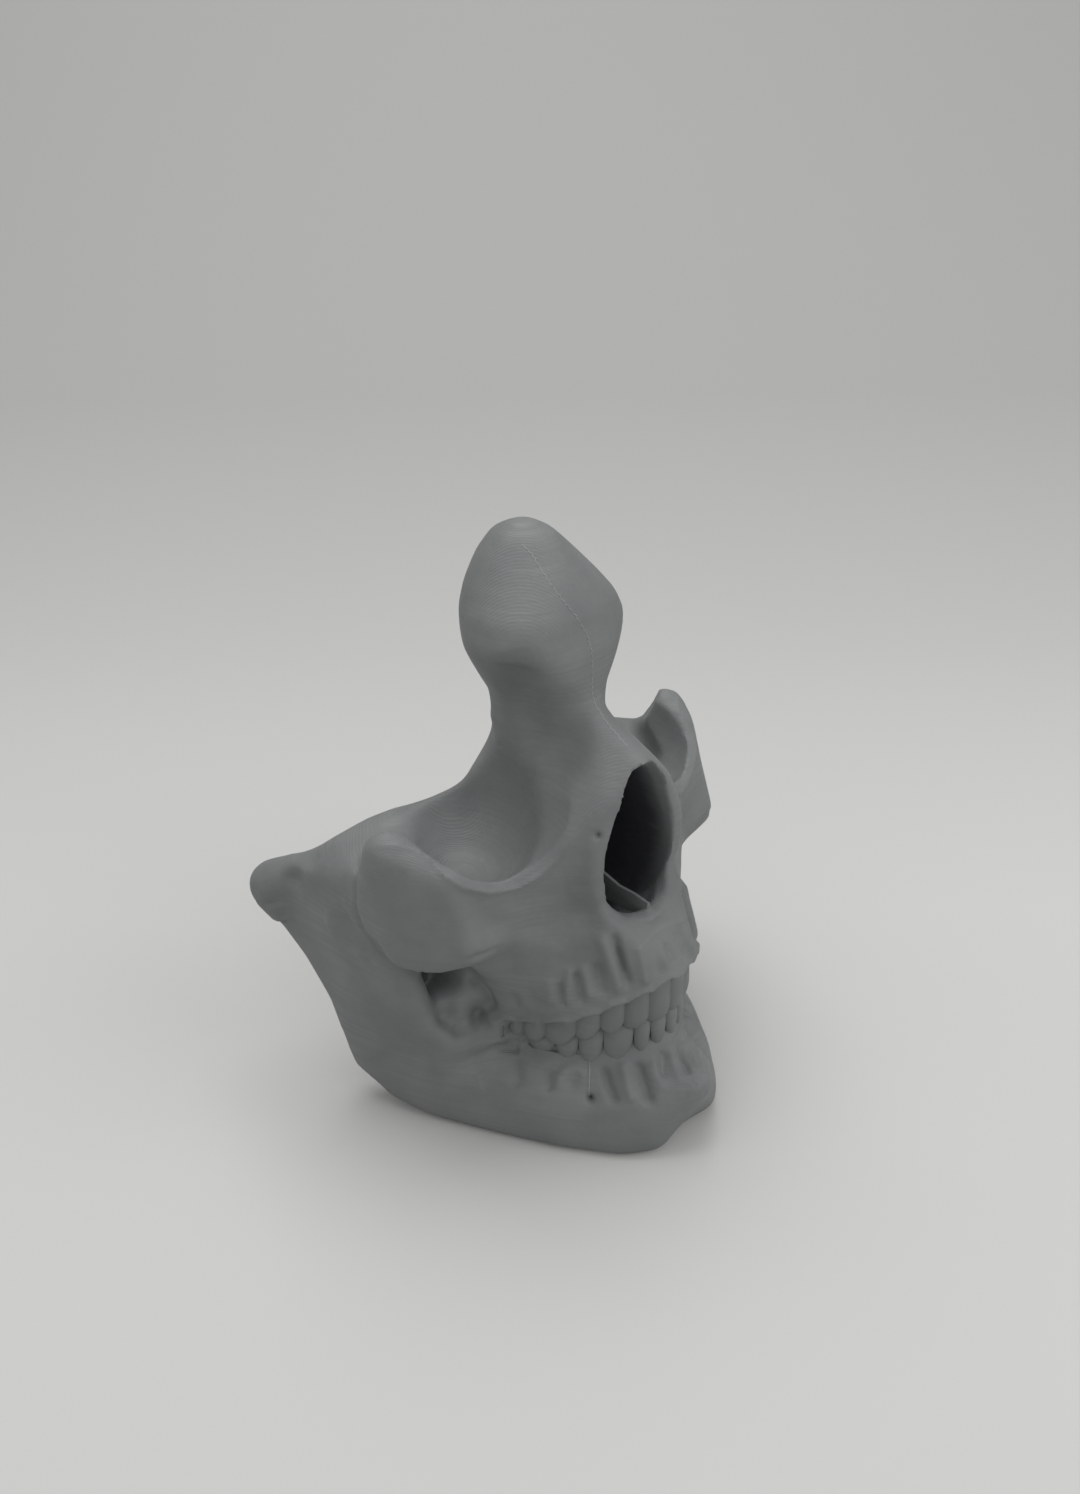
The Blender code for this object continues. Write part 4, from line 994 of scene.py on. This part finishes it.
# What is cut off level under the jaw: an outline seen from the side, and its half width
BASE_OUTLINE = [(-0.03, 0.0), (0.16, 0.0), (0.16, -0.03), (-0.03, -0.03)]
BASE_HALF_WIDTH = 0.1


def skull():
    """The seven bones as one skin: put together, skinned, hollowed out, shaped and carved."""
    whole = bmesh.new()
    add_plates(whole)
    add_to(whole, loft(column_rings(COLUMN_RING_SHARES)))
    add_to(whole, loft(column_rings(NECK_RING_SHARES)))
    for side in (-1, 1):
        for balls in (RECESS_WALL, REAR_GUM):
            add_to(whole, hull_of([(mirrored(at(shares), side), radius) for shares, radius in balls]))
    thing = skinned(object_from("skull", whole), ROUGH_GRAIN, ROUGH_ROUNDS)
    for centre, half_sizes in bowls():
        for side in (1, -1):
            cut(thing, ellipsoid(mirrored(centre, side), half_sizes))
    cut(thing, nose_shape())
    cut(thing, ellipsoid(TROUGH_CENTRE, TROUGH_HALF_SIZE))
    skinned(thing, FINE_GRAIN, FINE_ROUNDS)
    softened(thing)
    places, _ = points_of(thing)
    put_points(thing, nose_rim_raised(rims_shaped(places)))
    places, normals = points_of(thing)
    put_points(thing, foot_spread(places, normals))
    places, normals = points_of(thing)
    put_points(thing, carved(places, normals, tree_of(thing)))
    fewer_faces(thing)
    # paints shade on the walls inside the nose
    nose_shade_painted(thing)
    cut(thing, tooth_band())
    cut(thing, side_prism(BASE_OUTLINE, BASE_HALF_WIDTH))
    return thing


def finished(thing, material):
    """Moves the object into the part's frame, keeps it inside the part's box, and shades it smooth but for
    its edges."""
    places, _ = points_of(thing)
    places[:, 1] += CAD_BOX[1].y - HINGE_REAR
    put_points(thing, np.clip(places, CAD_BOX[0], CAD_BOX[1]))
    mesh = thing.data
    mesh.polygons.foreach_set("use_smooth", [True] * len(mesh.polygons))
    mesh.set_sharp_from_angle(angle=CREASE_ANGLE)
    mesh.materials.clear()
    mesh.materials.append(material)
    return thing


# Crown of a tooth, from inside its gum to its biting edge: share of its height, share of its width, and how
# far its face and its back stand in, in metres
UPPER_CROWN = [
    (-0.14, 1.0, 0.0002, 0.0), (0.0, 1.0, 0.0001, 0.0), (0.15, 1.01, 0.0, 0.0),
    (0.35, 1.03, -0.0002, 0.0), (0.55, 1.04, -0.0003, 0.0), (0.72, 1.04, -0.0003, 0.0),
    (0.85, 1.03, -0.0001, 0.0002), (0.93, 1.01, 0.0002, 0.0005), (0.98, 0.97, 0.0006, 0.001),
    (1.0, 0.9, 0.0011, 0.0016),
]
LOWER_CROWN = [
    (-0.62, 0.3, 0.0016, 0.0), (-0.5, 0.46, 0.0008, 0.0), (-0.36, 0.62, 0.0003, 0.0),
    (-0.18, 0.76, 0.0, 0.0), (0.0, 0.86, -0.0002, 0.0), (0.22, 0.94, -0.0003, 0.0),
    (0.45, 0.98, -0.0003, 0.0), (0.7, 1.0, 0.0001, 0.0), (0.88, 1.0, 0.0007, 0.0003),
    (1.0, 0.97, 0.0013, 0.001),
]
CROWN_FACE_POINTS = 21
CROWN_BACK_POINTS = 13
UPPER_BULGE = 0.0010
LOWER_BULGE = 0.0011
CROWN_CURVE = 2.4
CROWN_SETBACK = 0.0012  # the crowns stand this much further in here than in the solids
CORNER_CURVE, CORNER_RISE = 2.2, 5  # how a corner's rounding grows to the side and towards the biting edge
OVERBITE = 0.0020  # the upper crowns reach down past the bite by this
LOWER_REACH = 0.0006  # and the lower ones up past it by this
WISDOM_SETBACK = 0.0024  # the hindmost molars lie nearly hidden in the gum
WISDOM_DEPTH_SHARE = 0.45


def crown(name, row, start, end, depth, corner, side):
    """One tooth: a bulging face that meets its neighbours' in shallow grooves."""
    gum, profile, bulge, setback, overbite = row
    if name.split("_")[-2] == "3":
        setback += WISDOM_SETBACK
        depth *= WISDOM_DEPTH_SHARE
    middle = (start + end) / 2
    half = (end - start) / 2
    rings = []
    for share, wide, face_in, back_in in profile:
        ring = []
        walk = [(2 * i / (CROWN_FACE_POINTS - 1) - 1, True) for i in range(CROWN_FACE_POINTS)]
        walk += [(1 - 2 * (i + 0.5) / CROWN_BACK_POINTS, False) for i in range(CROWN_BACK_POINTS)]
        for across, front in walk:
            fall = bulge * abs(across) ** CROWN_CURVE
            inset = fall + face_in if front else depth - fall - back_in
            inset = GUM_LIP + CROWN_SETBACK + setback + inset
            place, _ = around_arch(middle + across * wide * half, inset)
            spot, _ = around_arch(middle + across * wide * half, 0.0)
            neck = height_on(gum, spot.y)
            bite = height_on(BITE_SHARES, spot.y) + overbite
            level = share - corner * abs(across) ** CORNER_CURVE * max(share, 0.0) ** CORNER_RISE
            ring.append(Vector((side * place.x, place.y, neck + (bite - neck) * level)))
        rings.append(ring)
    return object_from(name, loft(rings))


def teeth():
    upper_row = (UPPER_GUM_SHARES, UPPER_CROWN, UPPER_BULGE, 0.0, -OVERBITE)
    lower_row = (LOWER_GUM_SHARES, LOWER_CROWN, LOWER_BULGE, LOWER_SETBACK, LOWER_REACH)
    sets = (("upper", UPPER_TEETH_SHARES, upper_row), ("lower", LOWER_TEETH_SHARES, lower_row))
    for prefix, table, row in sets:
        for name, start, end, depth, corner in tooth_bounds(table):
            for side, side_name in ((-1, "right"), (1, "left")):
                node = prefix + "_" + name + "_" + side_name
                yield crown("crown_" + node, row, start, end, depth, corner, side), node


# The blade in the nose: metres behind the nose's margin, and the height of its edge above the nose's floor
# as a share of the nose's height
BLADE_EDGE = [
    (-0.0037, 0.118), (0.0008, 0.132), (0.0057, 0.13), (0.0111, 0.164), (0.023, 0.25), (0.033, 0.3),
]
BLADE_THICKNESS = 0.0016
BLADE_FOOT, BLADE_TIP = 2.2, 0.5  # its thickness at foot and edge, as shares of that
BLADE_SINK = 0.008


def blade():
    half = BLADE_THICKNESS / 2
    rings = []
    for depth, up in BLADE_EDGE:
        top = NOSE_FLOOR + up * NOSE_HEIGHT
        foot = NOSE_FLOOR - BLADE_SINK
        left = [(-half * BLADE_FOOT, foot), (-half, top - half * 2), (-half * BLADE_TIP, top)]
        outline = left + [(-x, z) for x, z in reversed(left)]
        rings.append([Vector((x, NOSE_MARGIN + depth, z)) for x, z in outline])
    return object_from("septum_blade", loft(rings))


# Threads of plastic that the printer left, and the line where each layer began: drawn on the picture too
THREAD_RADIUS = 0.00010
LAYER_START_LINE = [
    (521.6, 544), (530.8, 553), (546, 577.5), (562.4, 600), (574.7, 614.3), (587, 634.7), (591.4, 651),
    (592.6, 669.4), (591.6, 691.8), (595, 704), (605, 720), (617.5, 735), (627, 746),
]
CHIN_THREAD = [(589.6, 1060), (589.8, 1068), (589.3, 1080), (588.8, 1097)]
LINE_WANDER = 0.00026
LINE_BEAT, LINE_WEAK_SHARE = 2.1, 0.4  # the line's wander: its beat, and how weak every other bend is
THREAD_SIDES = 6
THREAD_END_SHARE = 0.4  # how thin a thread's ends are
CHIN_THREAD_SHARE = 0.8
CHIN_THREAD_LIFT = 0.0005  # the thread under the tooth stands free of the skin by this


def tube(name, places, radius):
    """A thin thread through the places."""
    turns = [math.tau * k / THREAD_SIDES for k in range(THREAD_SIDES)]
    rings = []
    for i, place in enumerate(places):
        ahead = (places[min(i + 1, len(places) - 1)] - places[max(i - 1, 0)]).normalized()
        side = ahead.cross(CAMERA_BACK).normalized()
        up = side.cross(ahead)
        taper = THREAD_END_SHARE if i in (0, len(places) - 1) else 1.0
        ring = [side * math.cos(turn) + up * math.sin(turn) for turn in turns]
        rings.append([place + spoke * radius * taper for spoke in ring])
    return object_from(name, loft(rings))


def threads(tree):
    """The layers' start line, which wanders a little, and the thread under the tooth, which stands free."""
    line = []
    for i, place in enumerate(thrown(tree, LAYER_START_LINE)):
        sway = LINE_WANDER * math.sin(i * LINE_BEAT) * (1 if i % 2 else LINE_WEAK_SHARE)
        line.append(place + CAMERA_RIGHT * sway)
    yield tube("layer_start_line", line, THREAD_RADIUS)
    places = thrown(tree, CHIN_THREAD)
    lifts = [math.sin(math.pi * i / (len(places) - 1)) for i in range(len(places))]
    thread = [place + CAMERA_BACK * (CHIN_THREAD_LIFT * lift) for place, lift in zip(places, lifts)]
    yield tube("chin_thread", thread, THREAD_RADIUS * CHIN_THREAD_SHARE)


class Look:
    """A material with short ways to add to its nodes."""

    def __init__(self, name):
        self.material = bpy.data.materials.new(name)
        self.material.use_nodes = True
        self.tree = self.material.node_tree
        self.shader = self.tree.nodes["Principled BSDF"]

    def put(self, value, socket):
        """Links an output of another node to a socket, or sets the socket to a plain value."""
        if isinstance(value, bpy.types.NodeSocket):
            self.tree.links.new(value, socket)
        else:
            socket.default_value = value

    def node(self, kind, inputs, output=0, **settings):
        """A new node's output, once its settings are made and its inputs are put in."""
        made = self.tree.nodes.new(kind)
        for name, value in settings.items():
            setattr(made, name, value)
        for socket, value in inputs.items():
            self.put(value, made.inputs[socket])
        return made.outputs[output]

    def noise(self, vector, settings):
        scale, detail, roughness = settings
        inputs = {"Vector": vector, "Scale": scale, "Detail": detail, "Roughness": roughness}
        return self.node("ShaderNodeTexNoise", inputs, "Fac")

    def ramp(self, value, low, high):
        names = ("Value", "From Min", "From Max", "To Min", "To Max")
        return self.node("ShaderNodeMapRange", dict(zip(names, (value, *low, *high))), "Result")

    def calc(self, operation, first, second=0.0):
        return self.node("ShaderNodeMath", {0: first, 1: second}, "Value", operation=operation)

    def mixed(self, share, first, second):
        """Two colours mixed: they go in at sockets 6 and 7, and the mixture comes out at 2."""
        return self.node("ShaderNodeMix", {"Factor": share, 6: first, 7: second}, 2, data_type="RGBA")


# Tones of the plastic: darker blotches, paler blotches, streaks
PLASTIC_TONES = [(0.125, 0.132, 0.134, 1.0), (0.172, 0.179, 0.179, 1.0), (0.148, 0.155, 0.155, 1.0)]
# painted highlight: paler tones on the thin raised threads, for the light they catch
LINE_HIGHLIGHT_TONES = [(0.270, 0.278, 0.278, 1.0), (0.330, 0.338, 0.337, 1.0), (0.300, 0.308, 0.308, 1.0)]
# painted shade: the near-black grey that the walls inside the nose are darkened to
PAINTED_NOSE_SHADE_GREY = (0.046, 0.048, 0.054, 1.0)
STREAK_STRETCH = (16.0, 16.0, 1500.0)
# Noises: scale, detail and roughness
STREAK_NOISE = (1.0, 3.0, 0.6)
BLOTCH_NOISE = (55.0, 4.0, 0.55)
GRAIN_NOISE = (900.0, 2.0, 0.5)
SWELL_NOISE = (170.0, 2.0, 0.5)
# Which stretch of a noise turns into which stretch of a share or of the roughness
BLOTCH_RAMP = ((0.36, 0.64), (0.0, 1.0))
STREAK_RAMP = ((0.38, 0.66), (0.15, 0.75))
ROUGHNESS_RAMP = ((0.3, 0.7), (0.50, 0.66))
LAYER_HEIGHT = 0.00024
LAYER_RELIEF, LAYER_STRENGTH = 0.00003, 0.8
STREAK_RELIEF, GRAIN_RELIEF = 3.0, 1.2  # beside the layers' own relief of 1
SWELL_RELIEF, SWELL_STRENGTH = 0.00045, 0.6


def plastic(name, tones):
    """Matte grey plastic, printed in fine level layers: streaks and steps along each layer, soft blotches,
    and shade painted on the walls inside the nose."""
    look = Look(name)
    place = look.node("ShaderNodeTexCoord", {}, "Object")
    stretched = look.node("ShaderNodeMapping", {"Vector": place, "Scale": STREAK_STRETCH})
    streaks = look.noise(stretched, STREAK_NOISE)
    blotches = look.noise(place, BLOTCH_NOISE)
    grain = look.noise(place, GRAIN_NOISE)

    colour = look.mixed(look.ramp(blotches, *BLOTCH_RAMP), tones[0], tones[1])
    colour = look.mixed(look.ramp(streaks, *STREAK_RAMP), colour, tones[2])
    # painted shade: the walls inside the nose are darkened by the painted mark
    deep = look.node("ShaderNodeAttribute", {}, "Fac", attribute_name="deep")
    colour = look.mixed(look.ramp(deep, (0.0, 1.0), (0.0, 1.0)), colour, PAINTED_NOSE_SHADE_GREY)
    look.put(colour, look.shader.inputs["Base Color"])
    look.put(look.ramp(streaks, *ROUGHNESS_RAMP), look.shader.inputs["Roughness"])

    level = look.node("ShaderNodeSeparateXYZ", {"Vector": place}, "Z")
    wave = look.calc("SINE", look.calc("MULTIPLY", level, math.tau / LAYER_HEIGHT))
    uneven = look.calc("MULTIPLY", streaks, STREAK_RELIEF)
    rough = look.calc("ADD", uneven, look.calc("MULTIPLY", grain, GRAIN_RELIEF))
    swell = {"Height": look.noise(place, SWELL_NOISE), "Distance": SWELL_RELIEF, "Strength": SWELL_STRENGTH}
    layers = {"Height": look.calc("ADD", wave, rough), "Distance": LAYER_RELIEF, "Strength": LAYER_STRENGTH}
    layers["Normal"] = look.node("ShaderNodeBump", swell)
    look.put(look.node("ShaderNodeBump", layers), look.shader.inputs["Normal"])
    return look.material


# The paper, measured from the middle of the skull
FLOOR_REACH = 0.26  # to where the paper starts to rise
FLOOR_ROWS = (-1.2, -0.4, 0.0)
PAPER_RISE = 0.55
PAPER_STEPS = 24  # rows over the rise
PAPER_HEIGHT = 1.6
PAPER_HALF_WIDTH = 2.2
PAPER_COLOUR = (0.522, 0.522, 0.513, 1.0)
# painted shade: the darker grey that the paper turns to behind the skull, where less light reaches it
PAPER_PAINTED_SHADE_COLOUR = (0.350, 0.350, 0.345, 1.0)
PAPER_ROUGHNESS, PAPER_SPECULAR = 0.85, 0.15
PAPER_SHADE_FADE = (0.06, 0.50)  # painted shade: the paper darkens between these distances behind the skull


def backdrop():
    """One sheet of pale paper that lies under the skull and curves up behind it, with shade painted on it
    further back.
    """
    ahead = Vector((-CAMERA_BACK.x, -CAMERA_BACK.y, 0)).normalized()
    aside = Vector((ahead.y, -ahead.x, 0))
    profile = [(reach, 0.0) for reach in FLOOR_ROWS]
    for i in range(PAPER_STEPS + 1):
        turn = math.pi / 2 * i / PAPER_STEPS
        profile.append((FLOOR_REACH + PAPER_RISE * math.sin(turn), PAPER_RISE * (1 - math.cos(turn))))
    profile.append((FLOOR_REACH + PAPER_RISE, PAPER_HEIGHT))
    bm = bmesh.new()
    ends = []
    for reach, up in profile:
        middle = ahead * reach + Vector((0, 0, up))
        ends.append([bm.verts.new(middle + aside * side) for side in (-PAPER_HALF_WIDTH, PAPER_HALF_WIDTH)])
    for low, high in zip(ends, ends[1:]):
        bm.faces.new((low[0], low[1], high[1], high[0]))
    sheet = object_from("paper_sheet", bm)
    sheet.data.polygons.foreach_set("use_smooth", [True] * len(sheet.data.polygons))

    look = Look("paper")
    place = look.node("ShaderNodeTexCoord", {}, "Object")
    # painted shade: the paper grows darker with distance behind the skull
    reach = look.node("ShaderNodeVectorMath", {0: place, 1: ahead}, "Value", operation="DOT_PRODUCT")
    paper_with_painted_shade = look.mixed(look.ramp(reach, PAPER_SHADE_FADE, (0.0, 1.0)), PAPER_COLOUR, PAPER_PAINTED_SHADE_COLOUR)
    look.put(paper_with_painted_shade, look.shader.inputs["Base Color"])
    look.put(PAPER_ROUGHNESS, look.shader.inputs["Roughness"])
    look.put(PAPER_SPECULAR, look.shader.inputs["Specular IOR Level"])
    sheet.data.materials.append(look.material)


ROOM_LIGHT = 0.74  # strength of the white world
PANEL_SIDE = 0.8
# Panels of light: place, what it faces, and power in watts
PANELS = {
    "ceiling": ((0.12, 0.30, 1.05), (0, 0, 0.05), 6.6),
    "window": ((0.45, -0.90, 0.62), (0, 0, 0.07), 3.8),
}


def lights():
    world = bpy.data.worlds.new("room")
    bpy.context.scene.world = world
    world.use_nodes = True
    background = world.node_tree.nodes["Background"]
    background.inputs["Color"].default_value = (1.0, 1.0, 1.0, 1.0)
    background.inputs["Strength"].default_value = ROOM_LIGHT
    for name, (place, target, power) in PANELS.items():
        lamp = bpy.data.lights.new(name, "AREA")
        lamp.size = PANEL_SIDE
        lamp.energy = power
        thing = bpy.data.objects.new(name, lamp)
        bpy.context.scene.collection.objects.link(thing)
        thing.location = place
        thing.rotation_mode = "QUATERNION"
        thing.rotation_quaternion = (Vector(target) - Vector(place)).to_track_quat("-Z", "Y")


SENSOR_WIDTH = 36.0
NEAREST_SEEN, FARTHEST_SEEN = 0.01, 20.0


def camera():
    data = bpy.data.cameras.new("camera")
    data.sensor_width = SENSOR_WIDTH
    data.lens = data.sensor_width * FOCAL_PIXELS / PICTURE_PIXELS[1]
    data.clip_start, data.clip_end = NEAREST_SEEN, FARTHEST_SEEN
    eye = bpy.data.objects.new("camera", data)
    bpy.context.scene.collection.objects.link(eye)
    turn = Matrix((CAMERA_RIGHT, CAMERA_UP, CAMERA_BACK)).transposed().to_4x4()
    place = CAMERA_PLACE + Vector((0, CAD_BOX[1].y - HINGE_REAR, 0))
    eye.matrix_world = Matrix.Translation(place) @ turn
    bpy.context.scene.camera = eye


def main():
    camera()
    grey = plastic("printed_plastic", PLASTIC_TONES)
    # the threads take paler tones: a painted highlight
    pale = plastic("line_highlight_plastic", LINE_HIGHLIGHT_TONES)
    skin = skull()
    pieces = [(skin, grey, BONES, "bones"), (blade(), grey, ["vomer"], "bones")]
    pieces += [(thing, grey, [node], "teeth") for thing, node in teeth()]
    pieces += [(thing, pale, [], "bones") for thing in threads(tree_of(skin))]
    for thing, material, nodes, slot in pieces:
        finished(thing, material)
        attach(thing, "root")
        if nodes:
            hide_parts(*nodes)
    backdrop()
    lights()
    bpy.context.scene.view_settings.view_transform = "Standard"


main()
